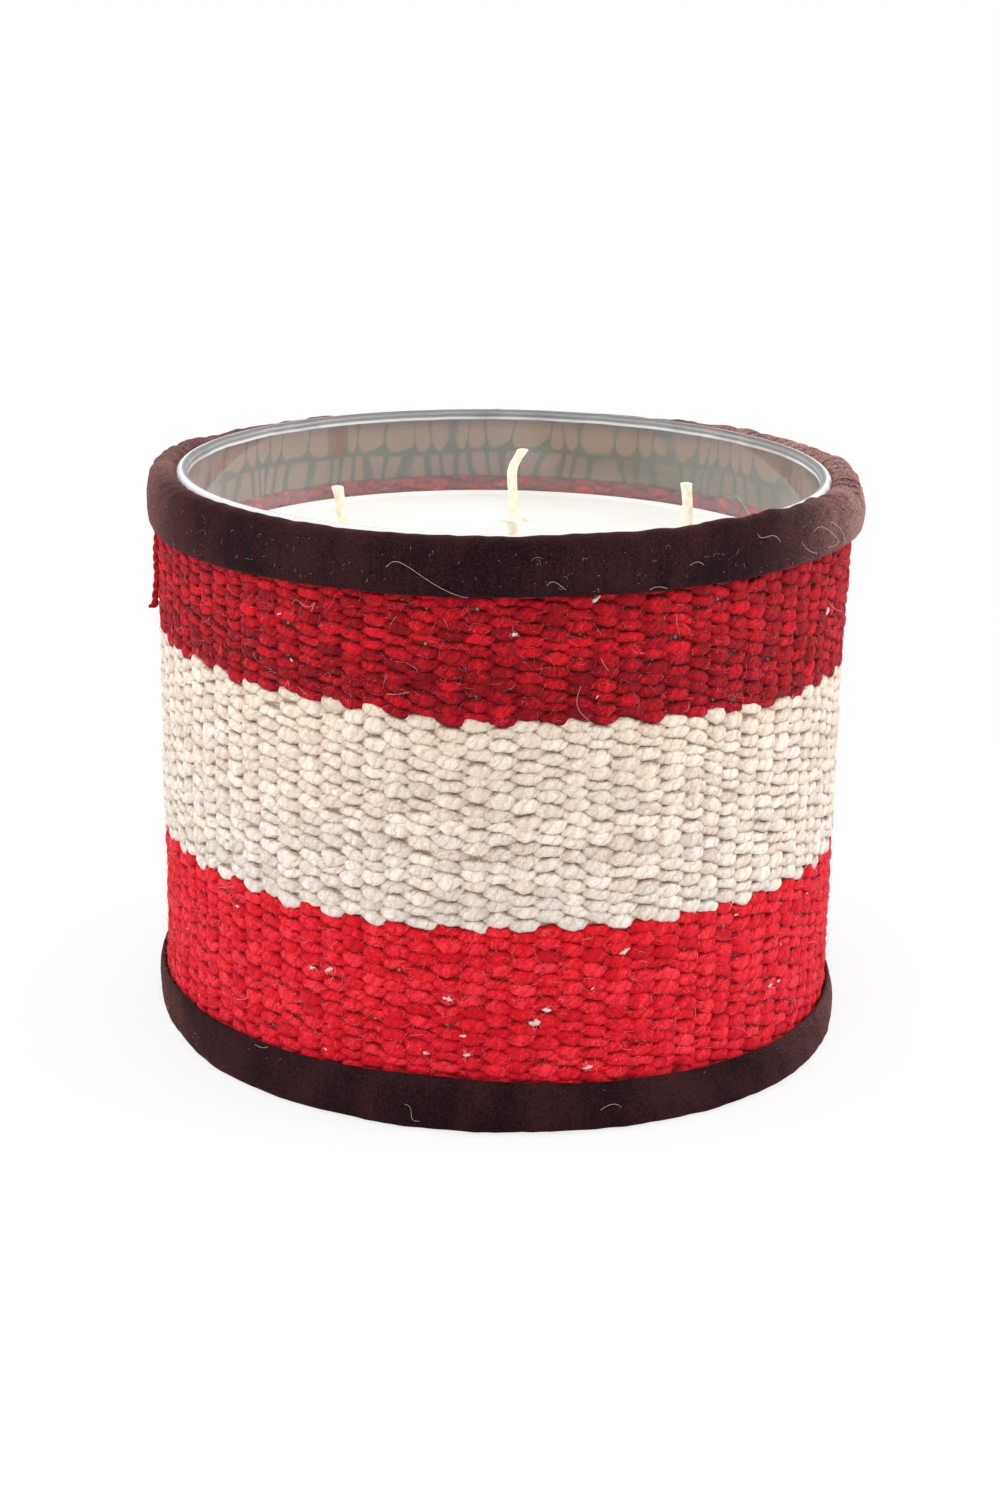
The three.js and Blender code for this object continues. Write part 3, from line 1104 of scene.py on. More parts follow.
def dress(piece: bpy.types.Object, body: Body, finish: Finish, *nodes: str) -> bpy.types.Object:
    """Gives a finished piece its material, its body and the nodes that it stands for.

    Args:
        piece: The piece.
        body: The body that it rides on.
        finish: Its finish.
        nodes: The CAD nodes that it stands for.

    Returns:
        The piece.
    """
    piece.data.materials.clear()
    piece.data.materials.append(finish.material)
    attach(piece, body.value)
    if nodes:
        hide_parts(*nodes)
    faces = sum(len(face.vertices) - 2 for face in piece.data.polygons)
    LOG.info("%s: %d triangles, on %s", piece.name, faces, body.value)
    return piece


# The poured candle


@dataclass
class PouredCandle:
    """The glass vessel, the wax, the four wicks, and what holds the wicks to the base."""

    wall: float = 3.0
    base: float = 8.0
    heel: float = 5.0
    inner_corner: float = 4.0
    punt_radius: float = 66.0
    punt_depth: float = 1.5
    spin_steps: int = 160
    meniscus_height: float = 0.9
    meniscus_width: float = 2.6
    wetting: float = 0.02
    wick_leans: dict[str, tuple[float, float, float]] = field(
        default_factory=lambda: {
            "left": (-2.0, 0.0, 0.0),
            "right": (-0.3, 0.4, 0.3),
            "back": (0.3, -0.4, -2.1),
            "front": (-1.2, 0.3, 0.3),
        }
    )
    dish: float = 0.12
    tab_clearance: float = 0.3
    tab_recess: float = 2.2
    bore_radius: float = 2.8
    bore_depth: float = 9.0
    collar_radius: float = 1.15
    collar_spread: float = 2.6
    collar_climb: float = 1.15
    collar_sink: float = 0.6
    wick_radius: float = 1.42
    wick_rings: int = 110
    wick_sides: int = 20
    tip_curl: float = 0.8
    tip_flare: float = 0.16
    tip_length: float = 1.3
    braid_pitch: float = 4.4
    braid_relief: float = 0.07
    tab_turn: float = 0.7
    glue_turn: float = 1.9

    def __post_init__(self) -> None:
        """Reads the sizes that the frame gives."""
        vessel = box_of("glass_vessel")[1]
        self.outer, self.height = vessel.x, vessel.z
        low, high = box_of("wax_fill")
        self.wax_bottom, self.wax_top = low.z, high.z
        self.wick_feet = {place: self._foot(place) for place in self.wick_leans}

    @staticmethod
    def _foot(place: str) -> tuple[float, float]:
        """Returns where a wick stands, which is the middle of its tab."""
        low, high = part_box(f"wick_tab_{place}")
        return (low.x + high.x) / 2 / MM, (low.y + high.y) / 2 / MM

    @staticmethod
    def _extent(node: str) -> tuple[float, float, float]:
        """Returns the radius, the bottom and the top of a round CAD node."""
        low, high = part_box(node)
        return (high.x - low.x) / 2 / MM, low.z / MM, high.z / MM

    @staticmethod
    def _arc(radius: float, height: float, size: float, start: float, stop: float, steps: int) -> Profile:
        """Returns points on an arc of a profile, from one angle to another."""
        angles = np.radians(np.linspace(start, stop, steps + 1))
        return [(radius + size * math.cos(a), height + size * math.sin(a)) for a in angles]

    def build_glass(self) -> bpy.types.Object:
        """Spins the straight vessel with its punt, rounded heel and fire-polished rim.

        Returns:
            The vessel.
        """
        inner = self.outer - self.wall
        rim = self.wall / 2
        profile = [
            (0.0, self.punt_depth),
            (self.punt_radius - 6, self.punt_depth),
            (self.punt_radius - 2.4, self.punt_depth - 0.15),
            (self.punt_radius - 0.6, 0.5),
            (self.punt_radius + 1.4, 0.0),
            *self._arc(self.outer - self.heel, self.heel, self.heel, -90, 0, 10),
            (self.outer, self.height - self.wall),
            *self._arc(self.outer - rim, self.height - rim, rim, 0, 180, 16),
            (inner, self.height - self.wall),
            *self._arc(inner - self.inner_corner, self.base + self.inner_corner, self.inner_corner, 0, -90, 8),
            (0.0, self.base),
        ]
        piece = Bench.spun("clear_glass_vessel", profile, self.spin_steps, closed=False)
        Bench.smooth(piece, 50)
        return piece

    def build_wax(self) -> bpy.types.Object:
        """Models the wax with a meniscus at the glass, recesses under the wick tabs and a collar at each wick.

        Returns:
            The wax as one piece.
        """
        edge, rise = self.outer - self.wall + self.wetting, self.meniscus_height
        climb = [
            (edge - self.meniscus_width * (1 - s), self.wax_top + rise * s**2.4)
            for s in np.linspace(0, 1, 9)
        ]
        surface = [
            (r, self.wax_top - self.dish * math.sin(math.pi * r / edge) ** 2) for r in np.linspace(edge - 6, 1.0, 18)
        ]
        profile = [
            (0.0, self.wax_bottom),
            *self._arc(edge - 4, self.wax_bottom + 4, 4, -90, 0, 8),
            *reversed(climb),
            *surface,
            (0.0, self.wax_top),
        ]
        wax = Bench.spun("poured_wax", profile, self.spin_steps, closed=False)
        recess = self._extent("wick_tab_left")[0] + self.tab_clearance
        for x, y in self.wick_feet.values():
            self._cut(wax, x, y, recess, self.tab_recess)
            self._cut(wax, x, y, self.bore_radius, self.bore_depth)
        collars = [self._collar(x, y) for x, y in self.wick_feet.values()]
        Bench.pick(wax)
        for collar in collars:
            collar.select_set(True)
        bpy.ops.object.join()
        Bench.smooth(wax, 35)
        return wax

    def _cut(self, wax: bpy.types.Object, x: float, y: float, radius: float, depth: float) -> None:
        """Cuts a round recess into the underside of the wax.

        Args:
            wax: The wax.
            x: The recess's place.
            y: The recess's place.
            radius: Its radius.
            depth: How far it reaches up.
        """
        Bench.clear()
        place = (x * MM, y * MM, (self.wax_bottom + depth / 2 - 0.5) * MM)
        bpy.ops.mesh.primitive_cylinder_add(vertices=48, radius=radius * MM, depth=(depth + 1) * MM, location=place)
        tool = bpy.context.object
        Bench.pick(wax)
        cut = wax.modifiers.new("recess", "BOOLEAN")
        cut.operation, cut.object, cut.solver = "DIFFERENCE", tool, "EXACT"
        bpy.ops.object.modifier_apply(modifier=cut.name)
        bpy.data.objects.remove(tool)

    def _collar(self, x: float, y: float) -> bpy.types.Object:
        """Spins the small fillet of wax that climbs a wick.

        Args:
            x: The wick's place.
            y: The wick's place.

        Returns:
            The collar.
        """
        inner, foot, sunk = self.collar_radius, self.wax_top - self.dish, self.wax_top - self.collar_sink
        climb = [
            (inner + self.collar_spread * (1 - s), foot + self.collar_climb * s**2.6) for s in np.linspace(0, 1, 7)
        ]
        collar = Bench.spun("collar", [(inner, sunk), (3.9, sunk), *climb], 28)
        Bench.set_places(collar, Bench.places(collar) + np.array([x * MM, y * MM, 0.0]))
        return collar

    def _wick_path(self, place: str) -> np.ndarray:
        """Draws the middle of a wick.

        Args:
            place: Which of the four wicks.

        Returns:
            Its points from foot to tip, in millimetres.
        """
        x, y = self.wick_feet[place]
        lean_x, lean_y, bow = self.wick_leans[place]
        _, bottom, top = self._extent(f"wick_{place}")
        rise = bottom + (top - bottom) * np.linspace(0, 1, self.wick_rings)
        free = np.clip((rise - self.wax_top) / (top - self.wax_top), 0, 1)
        bend = bow * free * np.sin(math.pi * free) - self.tip_curl * bow * ease(free, 0.7, 1.05)
        return np.stack([x + lean_x * free**2 + bend, y + lean_y * free**2, rise], 1)

    def build_wick(self, place: str) -> bpy.types.Object:
        """Models one wick: a round cord that is extruded ring by ring and then braided.

        Args:
            place: Which of the four wicks.

        Returns:
            The wick, from its tab to its cut, slightly flared tip.
        """
        path = self._wick_path(place)
        Bench.clear()
        bpy.ops.mesh.primitive_circle_add(
            vertices=self.wick_sides, radius=self.wick_radius * MM, fill_type="NGON", location=path[0] * MM
        )
        wick = bpy.context.object
        wick.name = wick.data.name = f"braided_wick_{place}"
        bpy.ops.object.transform_apply(location=True)
        bpy.ops.object.mode_set(mode="EDIT")
        bpy.ops.mesh.select_all(action="SELECT")
        for here, there in zip(path, path[1:]):
            bpy.ops.mesh.extrude_region_move(TRANSFORM_OT_translate={"value": (there - here) * MM})
        bpy.ops.mesh.inset(thickness=0.35 * MM)
        bpy.ops.transform.translate(value=(0, 0, 0.18 * MM))
        bpy.ops.mesh.inset(thickness=0.5 * MM)
        bpy.ops.mesh.select_all(action="SELECT")
        bpy.ops.mesh.normals_make_consistent(inside=False)
        bpy.ops.object.mode_set(mode="OBJECT")
        self._braid(wick, path)
        Bench.smooth(wick, 60)
        return wick

    def _braid(self, wick: bpy.types.Object, path: np.ndarray) -> None:
        """Presses the crossing strands of a braid into a plain cord, and flares its cut tip.

        Args:
            wick: The plain cord.
            path: Its middle, in millimetres.
        """
        points = Bench.places(wick) / MM
        middle = np.stack([np.interp(points[:, 2], path[:, 2], path[:, axis]) for axis in (0, 1)], 1)
        across = points[:, :2] - middle
        angle = np.arctan2(across[:, 1], across[:, 0])
        rise = 2 * math.pi * points[:, 2] / self.braid_pitch
        left = np.maximum(0, np.sin(2 * angle + rise))
        right = np.maximum(0, np.sin(2 * angle - rise))
        crest = np.maximum(left, right) ** 0.6
        flare = 1 + self.tip_flare * np.exp(-np.maximum(0, path[-1, 2] - points[:, 2]) / self.tip_length)
        size = (1 + self.braid_relief * (crest - 0.75)) * flare
        on_side = np.clip(np.linalg.norm(across, axis=1) / self.wick_radius, 0, 1)
        points[:, :2] = middle + across * (1 + (size - 1) * on_side)[:, None]
        Bench.set_places(wick, points * MM)
        Bench.note(wick, "crest", crest)

    def build_tab(self) -> bpy.types.Object:
        """Models a wick tab at the origin: a pressed disc with a ridge, a rolled edge and a crimped neck.

        Returns:
            The tab.
        """
        disc, bottom, top = self._extent("wick_tab_left")
        profile = [
            (1.82, bottom + 0.05),
            (7.0, bottom + 0.05),
            (7.6, bottom),
            (disc - 0.25, bottom),
            (disc, bottom + 0.2),
            (disc, bottom + 0.42),
            (disc - 0.3, bottom + 0.6),
            (8.2, bottom + 0.42),
            (7.4, bottom + 0.6),
            (6.4, bottom + 0.42),
            (3.4, bottom + 0.42),
            (2.7, bottom + 0.7),
            (2.45, bottom + 1.6),
            (2.4, top - 1.2),
            (2.5, top - 0.4),
            (2.3, top),
            (1.9, top - 0.1),
            (1.82, top - 0.6),
        ]
        tab = Bench.spun("wick_sustainer", profile, 48)
        points = Bench.places(tab)
        spread = np.linalg.norm(points[:, :2], axis=1)
        angle = np.arctan2(points[:, 1], points[:, 0])
        neck = ease(points[:, 2] / MM, bottom + 2.0, bottom + 3.0) * (spread > 2.2 * MM)
        pinch = 1 - 0.05 * neck * (0.5 + 0.5 * np.cos(4 * angle))
        points[:, :2] *= pinch[:, None]
        Bench.set_places(tab, points)
        Bench.smooth(tab, 35)
        return tab

    def build_glue(self) -> bpy.types.Object:
        """Models a pressed dot of glue at the origin, with an uneven edge.

        Returns:
            The dot.
        """
        radius, bottom, top = self._extent("tab_glue_left")
        profile = [(0.0, bottom), (radius - 0.7, bottom)]
        profile += self._arc(radius - 0.5, (bottom + top) / 2, (top - bottom) / 2, -70, 70, 6)
        profile += [(radius - 1.4, top), (0.0, top)]
        glue = Bench.spun("glue_dot", profile, 56, closed=False)
        points = Bench.places(glue)
        angle = np.arctan2(points[:, 1], points[:, 0])
        uneven = 1 - 0.03 + 0.02 * np.sin(3 * angle + 0.6) + 0.01 * np.sin(7 * angle)
        points[:, :2] *= uneven[:, None]
        Bench.set_places(glue, points)
        Bench.smooth(glue, 50)
        return glue

    @staticmethod
    def _copy(model: bpy.types.Object, name: str, foot: tuple[float, float], turn: float) -> bpy.types.Object:
        """Copies a piece with its own mesh, turned about its own axis.

        Args:
            model: The piece at the origin.
            name: The copy's name.
            foot: Where the copy stands, in millimetres.
            turn: Its turn, in radians.

        Returns:
            The copy.
        """
        copy = model.copy()
        copy.data = model.data.copy()
        copy.name = copy.data.name = name
        bpy.context.scene.collection.objects.link(copy)
        copy.data.transform(Matrix.Translation((foot[0] * MM, foot[1] * MM, 0)) @ Matrix.Rotation(turn, 4, "Z"))
        return copy

    def build(self) -> None:
        """Builds and dresses every piece of the poured candle."""
        dress(self.build_glass(), Body.CANDLE, ClearGlass("clear_glass", "glass"), "glass_vessel")
        dress(self.build_wax(), Body.CANDLE, PouredWax("poured_wax", "wax"), "wax_fill")
        braid = WaxedBraid("waxed_braid", "wick_braid")
        tin, glue = TinPlate("tin_plate", "tab_metal"), HotGlue("hot_glue", "glue")
        tab, dot = self.build_tab(), self.build_glue()
        for number, (place, foot) in enumerate(self.wick_feet.items()):
            dress(self.build_wick(place), Body.CANDLE, braid, f"wick_{place}")
            copy = self._copy(tab, f"wick_sustainer_{place}", foot, number * self.tab_turn)
            dress(copy, Body.CANDLE, tin, f"wick_tab_{place}")
            copy = self._copy(dot, f"glue_dot_{place}", foot, number * self.glue_turn)
            dress(copy, Body.CANDLE, glue, f"tab_glue_{place}")
        bpy.data.objects.remove(tab)
        bpy.data.objects.remove(dot)


# The woven sleeve


@dataclass(frozen=True)
class Band:
    """One colour of the cloth: its rows of weft, and the height, slope, wander and dip of its upper edge."""

    colour: str
    wool: WovenWool
    rows: int
    top: float
    slope: float
    wander: float
    dip: float = 0.0


# Each wool lists: painted gap shade, two dye lots, a lighter tone that also paints crown highlights, and its sheen
# tint.
SCARLET = WovenWool(
    "scarlet_yarn", "scarlet_wool", tone(150, 1, 18), tone(202, 8, 28), tone(208, 10, 24), tone(240, 52, 60),
    tone(255, 84, 104), sheen_weight=0.6, ply_shade=0.5,
)
CREAM = WovenWool(
    "cream_yarn", "cream_wool", tone(174, 151, 134), tone(215, 205, 197), tone(226, 207, 189), tone(245, 235, 222),
    tone(252, 255, 250),
)
CRIMSON = WovenWool(
    "crimson_yarn", "crimson_wool", tone(80, 0, 14), tone(124, 0, 15), tone(148, 1, 18), tone(216, 20, 30),
    tone(255, 90, 112),
)
FUZZ_COLOURS = (tone(232, 96, 108), tone(236, 228, 214), tone(206, 52, 62), tone(226, 200, 194))
# Dark, shade-toned colours of the web under the weave: painted shade in the gaps.
WEB_SHADE_COLOURS = (tone(150, 6, 22), tone(176, 150, 128), tone(108, 4, 18))


@dataclass
class WovenCloth:
    """The weft-faced cloth: its warps, its weft yarns row by row, the web inside it and what clings to it."""

    warps: int = 92
    steps: int = 6
    sides: int = 10
    middle: float = 91.25
    wave: float = 1.0
    crown: float = 1.0
    crossing: float = 1.25
    lean: float = 0.15
    fullness: float = 1.2
    filling: float = 1.4
    overlap: float = 0.3
    lumps: float = 0.05
    uneven_wave: float = 0.2
    uneven_lean: float = 0.15
    uneven_height: float = 0.12
    uneven_size: float = 0.14
    warp_radius: float = 0.6
    seam_turn: float = 182.0
    seam_gap: float = 1.2
    web_gap: float = 1.2
    web_half: float = 0.45
    bottom: float = 8.6
    bottom_slope: float = -1.6
    bands: tuple[Band, ...] = (
        Band("scarlet", SCARLET, rows=27, top=53.9, slope=-0.7, wander=0.5),
        Band("cream", CREAM, rows=31, top=107.3, slope=-3.1, wander=0.6, dip=0.9),
        Band("crimson", CRIMSON, rows=23, top=142.0, slope=0.6, wander=0.2),
    )
    strays: tuple[Stray, ...] = (
        Stray(((19.5, 116.7), (18.6, 113.2), (19.4, 110.4), (22.8, 107.0)), 94.2),
        Stray(((-28.1, 113.3), (-25.3, 113.5), (-22.3, 114.3)), 94.0),
        Stray(((24.3, 123.5), (25.1, 121.9), (26.4, 120.1)), 94.0),
        Stray(((-54.2, 132.6), (-51.8, 133.4), (-49.4, 132.5), (-47.6, 133.7), (-48.5, 131.4)), 94.0),
        Stray(((104.0, 126.8), (109.5, 123.4), (118.9, 120.4)), 94.0),
    )
    neps: tuple[tuple[float, float], ...] = (
        (-12.0, 35.0), (13.0, 32.4), (10.0, 29.0), (-18.0, 20.0), (-7.0, 20.0), (33.0, 46.6), (-49.0, 38.0),
        (-44.0, 38.4), (83.0, 26.4), (24.0, 16.0), (23.0, 138.0), (2.6, 129.6), (7.0, 113.0), (105.0, 123.4),
    )
    more_neps: int = 60
    fibres: int = 9400
    pale_fibres: int = 150
    nep_fibres: int = 16
    fibre_thickness: float = 0.07
    seed: int = 41

    def __post_init__(self) -> None:
        """Lays out every row of the weft."""
        corner = box_of("crimson_band")[1]
        self.outer, self.cloth_top = corner.x, corner.z
        self.cloth_bottom = box_of("scarlet_band")[0].z
        self.dice = np.random.default_rng(self.seed)
        self.count = self.warps * self.steps + 1
        self.along = np.linspace(0, self.warps, self.count)
        gap = math.degrees(self.seam_gap / self.middle)
        self.turns = self.seam_turn + gap / 2 + self.along / self.warps * (360 - gap)
        self.angles = np.radians(self.turns)
        ends = np.cumsum([band.rows for band in self.bands])
        self.spans = [slice(end - band.rows, end) for band, end in zip(self.bands, ends)]
        self.rows = int(ends[-1])
        self._set_heights()
        self._set_tones()

    def _noise(self, rows: int, bumps: float) -> np.ndarray:
        """Returns rows of seeded noise along the weft, smoothed over so many bumps."""
        return smooth_noise(self.dice, rows, self.count, bumps * self.steps)

    def _edge(self, band: Band) -> np.ndarray:
        """Draws a band's upper edge.

        Args:
            band: The band.

        Returns:
            Its height all the way round.
        """
        wander = self._noise(1, 2.25)[0]
        dip = band.dip * hill(from_front(self.turns), 0, 20)
        return band.top + band.slope * np.cos(self.angles) + band.wander * wander - dip

    def _set_heights(self) -> None:
        """Works out how high each row runs and how thick it is, from uneven yarn packed between the band edges."""
        uneven = 0.12 * self._noise(self.rows, 0.8) + 0.3 * self._per_bump()
        around = np.stack([uneven[max(0, row - 3) : row + 4].mean(0) for row in range(self.rows)])
        weights = np.exp(uneven - 0.8 * around)
        self.heights = np.zeros((self.rows, self.count))
        floor = self.bottom + self.bottom_slope * np.cos(self.angles)
        for band, span in zip(self.bands, self.spans):
            ceiling = self._edge(band)
            steps = np.cumsum(weights[span], axis=0) - weights[span] / 2
            self.heights[span] = floor + (ceiling - floor) * steps / weights[span].sum(0)
            floor = ceiling
        self.edges = [self.heights[span.stop - 1 : span.stop + 1].mean(0) for span in self.spans[:-1]]
        padded = np.pad(self.heights, ((2, 2), (0, 0)), mode="reflect", reflect_type="odd")
        self.crown_half = (padded[4:] - padded[:-4]) / 4
        self.cross_half = (padded[3:-1] - padded[1:-3]) / 4

    def _per_bump(self) -> np.ndarray:
        """Draws seeded noise that holds one level for each bump of each row.

        Returns:
            The noise, rows by places along the weft.
        """
        bumps = self.dice.standard_normal((self.rows, self.warps))
        centres = np.arange(self.warps) + 0.5
        return np.stack([np.interp(self.along, centres, row) for row in bumps])

    def _set_tones(self) -> None:
        """Works out how light each bump of the weft is, and which dye lot each stretch of yarn shows."""
        bumps = self._per_bump()
        rows = self.dice.standard_normal((self.rows, 1))
        self.tones = 0.32 * bumps + 0.1 * rows + 0.15 * self._noise(self.rows, 8.0)
        self.leans, self.sways, self.shifts = (self._per_bump() for _ in range(3))
        share = self.along / self.warps
        wobble = 0.09 * self._noise(1, 1.1) + 0.07 * self._noise(self.rows, 2.0)
        self.wobble = wobble * np.clip(12 * np.minimum(share, 1 - share), 0, 1)
        drift = self._noise(self.rows, 12.0)
        ramp = np.concatenate([np.linspace(0, 1, band.rows) for band in self.bands])[:, None]
        self.lots = np.clip(0.5 + 0.9 * (ramp - 0.55) + 0.12 * drift + 0.05 * rows, 0, 1)

    def weft(self, name: str, span: slice) -> bpy.types.Object:
        """Weaves rows as closed yarns that pass over and under the warps.

        Args:
            name: The piece's name.
            span: The rows.

        Returns:
            The rows as one piece.
        """
        rows = np.arange(span.start, span.stop)[:, None]
        phase = math.pi * (self.along - 0.5 + self.wobble[span]) + math.pi * rows
        over, lean = np.cos(phase), np.sin(phase)
        swing = np.sign(over) * np.abs(over) ** 0.75 + self.overlap * (1 - np.abs(over))
        crest = np.abs(over) ** 0.7
        size = np.clip(self.sways[span], -2, 2)
        from_seam = np.minimum(self.along, self.warps - self.along)
        end = np.sqrt(np.clip(1 - (1 - np.clip(from_seam / 0.4, 0, 1)) ** 2, 0.04, 1))
        radius = self.middle + (self.wave + self.uneven_wave * size) * swing - 0.8 * (1 - ease(from_seam, 0.0, 0.75))
        height = self.heights[span] - (self.lean + self.uneven_lean * self.leans[span]) * lean
        height = height + self.uneven_height * self.shifts[span]
        thin = self.filling * self.cross_half[span]
        tall = thin + (self.fullness * self.crown_half[span] * (1 + self.uneven_size * size) - thin) * crest
        deep = self.crossing + (self.crown - self.crossing) * crest
        turn = np.linspace(0, 2 * math.pi, self.sides, endpoint=False) + math.pi / self.sides
        lumps = 1 + self.lumps * self.dice.standard_normal((len(rows), self.count, self.sides))
        flat, steep = np.cos(turn), np.sin(turn)
        across = radius[..., None] + (deep * end)[..., None] * lumps * np.sign(flat) * np.abs(flat) ** 0.65
        rise = height[..., None] + (tall * end)[..., None] * lumps * np.sign(steep) * np.abs(steep) ** 0.9
        across = across + self.belly(self.turns, self.heights[span])[..., None]
        notes = {
            # The crest marks how near each point lies to the outward crown; the wool finish paints shade and
            # highlight from it.
            "crest": np.clip((np.abs(flat) - 0.55) / 0.4, 0, 1) * (0.5 + 0.5 * crest[..., None]),
            "tone": self.tones[span][..., None],
            "lot": self.lots[span][..., None],
        }
        pitch = 2 * math.pi * self.middle / self.warps
        lengths = np.broadcast_to(self.along * pitch * MM, (len(rows), self.count))
        return Bench.tubes(name, all_round(across, self.angles[None, :, None], rise) * MM, notes, lengths)

    @staticmethod
    def belly(turns: np.ndarray, heights: np.ndarray) -> np.ndarray:
        """Works out where the cloth is slack or pulled in.

        Args:
            turns: The turn of each place.
            heights: Its height.

        Returns:
            How far the cloth stands off its even radius there.
        """
        front = from_front(turns)
        slack = 0.9 * hill(front, 90, 45) * ease(heights, 108, 134)
        pulled = 0.6 * hill(front, -90, 45) * ease(heights, 12, 26) * (1 - ease(heights, 44, 64))
        return slack - pulled

    def web(self) -> bpy.types.Object:
        """Spins the thin web in the middle of the cloth, from seam edge to seam edge, whose finish paints shade where
        it shows through the gaps of the weave.

        Returns:
            The web, which notes the band that each place lies in.
        """
        gap = math.degrees((self.seam_gap + self.web_gap) / self.middle)
        inside, outside = self.middle - self.web_half, self.middle + self.web_half
        levels = np.linspace(self.cloth_bottom, self.cloth_top, 40)
        profile = [(inside, z) for z in levels] + [(outside, z) for z in reversed(levels)]
        web = Bench.spun("cloth_shade_web", profile, 276, start=self.seam_turn + gap / 2, sweep=360 - gap)
        points = Bench.places(web)
        turns = np.degrees(np.arctan2(points[:, 1], points[:, 0])) % 360
        Bench.note(web, "lot", self.band_of(turns, points[:, 2] / MM) / len(self.bands) + FIRST_LOT)
        Bench.smooth(web)
        return web

    def warp_yarns(self) -> bpy.types.Object:
        """Lays the upright warps that the weft passes over and under.

        Returns:
            The warps as one piece.
        """
        levels = np.linspace(self.cloth_bottom + 0.5, self.cloth_top - 0.5, 30)
        spots = np.radians(np.interp(np.arange(self.warps) + 0.5, self.along, self.turns))
        turn = spots[:, None] + 0.12 * smooth_noise(self.dice, self.warps, len(levels), 3.0) / self.middle
        centres = all_round(self.middle, turn, levels) * MM
        rings = Bench.ringed(centres, np.full(turn.shape, self.warp_radius * MM), 6)
        return Bench.tubes("linen_warps", rings, None, np.broadcast_to(levels * MM, turn.shape), 5.0)

    def surface(self, turns: np.ndarray, heights: np.ndarray) -> np.ndarray:
        """Returns points near the crowns of the weft, in metres."""
        radius = self.middle + self.wave + 0.75 * self.crown + self.belly(turns, heights)
        return all_round(radius, np.radians(turns), heights) * MM

    def band_of(self, turns: np.ndarray, heights: np.ndarray) -> np.ndarray:
        """Finds the band that each place lies in.

        Args:
            turns: The turn of each place.
            heights: Its height.

        Returns:
            The number of its band, from 0 for the lowest.
        """
        turns = np.where(turns < self.turns[0], turns + 360, turns)
        found = np.zeros(len(turns), int)
        for edge in self.edges:
            found += heights > np.interp(turns, self.turns, edge)
        return found

    def fuzz(self) -> bpy.types.Object:
        """Grows short wool fibres all over the outside of the cloth, coloured as the band below them.

        Returns:
            The fibres as one piece, with pale ones here and there and at every nep.
        """
        count = self.fibres
        turns = self.dice.uniform(0, 360, count)
        heights = self.dice.uniform(15, 137, count)
        lots = self.band_of(turns, heights)
        lengths = self.dice.gamma(3.0, 0.6, count) + 0.7
        pale = slice(0, self.pale_fibres)
        lengths[pale] *= 1.7
        near = np.repeat(np.array(self.neps), self.nep_fibres, axis=0)
        at_neps = slice(pale.stop, pale.stop + len(near))
        turns[at_neps] = FRONT + np.degrees((near[:, 0] + self.dice.normal(0, 0.5, len(near))) / self.outer)
        heights[at_neps] = near[:, 1] + self.dice.normal(0, 0.4, len(near))
        lengths[at_neps] = self.dice.uniform(0.7, 1.7, len(near))
        lots[: at_neps.stop] = len(self.bands)
        outward, sideways = ways_at(turns)
        ways = tilted(sideways, self.dice.uniform(0, 2 * math.pi, count))
        ways = ways + outward * self.dice.uniform(-0.1, 0.5, count)[:, None]
        roots = self.surface(turns, heights)
        rings = Bench.hairs(self.dice, roots, ways, lengths * MM, 1.6, self.fibre_thickness, 3)
        return Bench.tubes("wool_fuzz", rings, {"lot": (lots / len(FUZZ_COLOURS) + FIRST_LOT)[:, None, None]})

    def flecks(self) -> bpy.types.Object:
        """Models pale neps of undyed wool, caught between the crowns, where seen and scattered beyond.

        Returns:
            The neps as one piece.
        """
        known = np.array(self.neps)
        arcs = np.concatenate([known[:, 0], self.dice.uniform(-290, 290, self.more_neps)])
        heights = np.concatenate([known[:, 1], self.dice.uniform(16, 136, self.more_neps)])
        turns = (FRONT + np.degrees(arcs / self.outer)) % 360
        keep = (self.band_of(turns, heights) != 1) | (self.dice.uniform(0, 1, len(turns)) < 0.12)
        keep[: len(known)] = True
        turns, heights = turns[keep], heights[keep]
        count, rings_each, sides = len(turns), 6, 5
        size = self.dice.uniform(0.6, 1.25, count) * np.where(np.arange(count) < len(known), 1.0, 0.6)
        share = np.linspace(-1, 1, rings_each)
        bulge = np.sqrt(np.clip(1 - share**2, 0.03, 1))
        out, side = ways_at(turns)
        long_way = tilted(side, self.dice.normal(0, 0.5, count))
        wide_way = np.cross(out, long_way)
        centre = self.surface(turns, heights) + out * 0.12 * MM
        rough = self.dice.uniform(0.3, 1.6, (count, rings_each, sides))
        around = np.arange(sides) * 2 * math.pi / sides
        ring = (
            wide_way[:, None, None] * (0.52 * np.cos(around))[None, None, :, None]
            + out[:, None, None] * (0.3 * np.sin(around))[None, None, :, None]
        )
        rings = (
            centre[:, None, None]
            + long_way[:, None, None] * (1.3 * size[:, None] * share)[..., None, None] * MM
            + ring * (size[:, None, None] * bulge[None, :, None] * rough)[..., None] * MM
        )
        return Bench.tubes("pale_neps", rings, {"lot": FIRST_LOT})

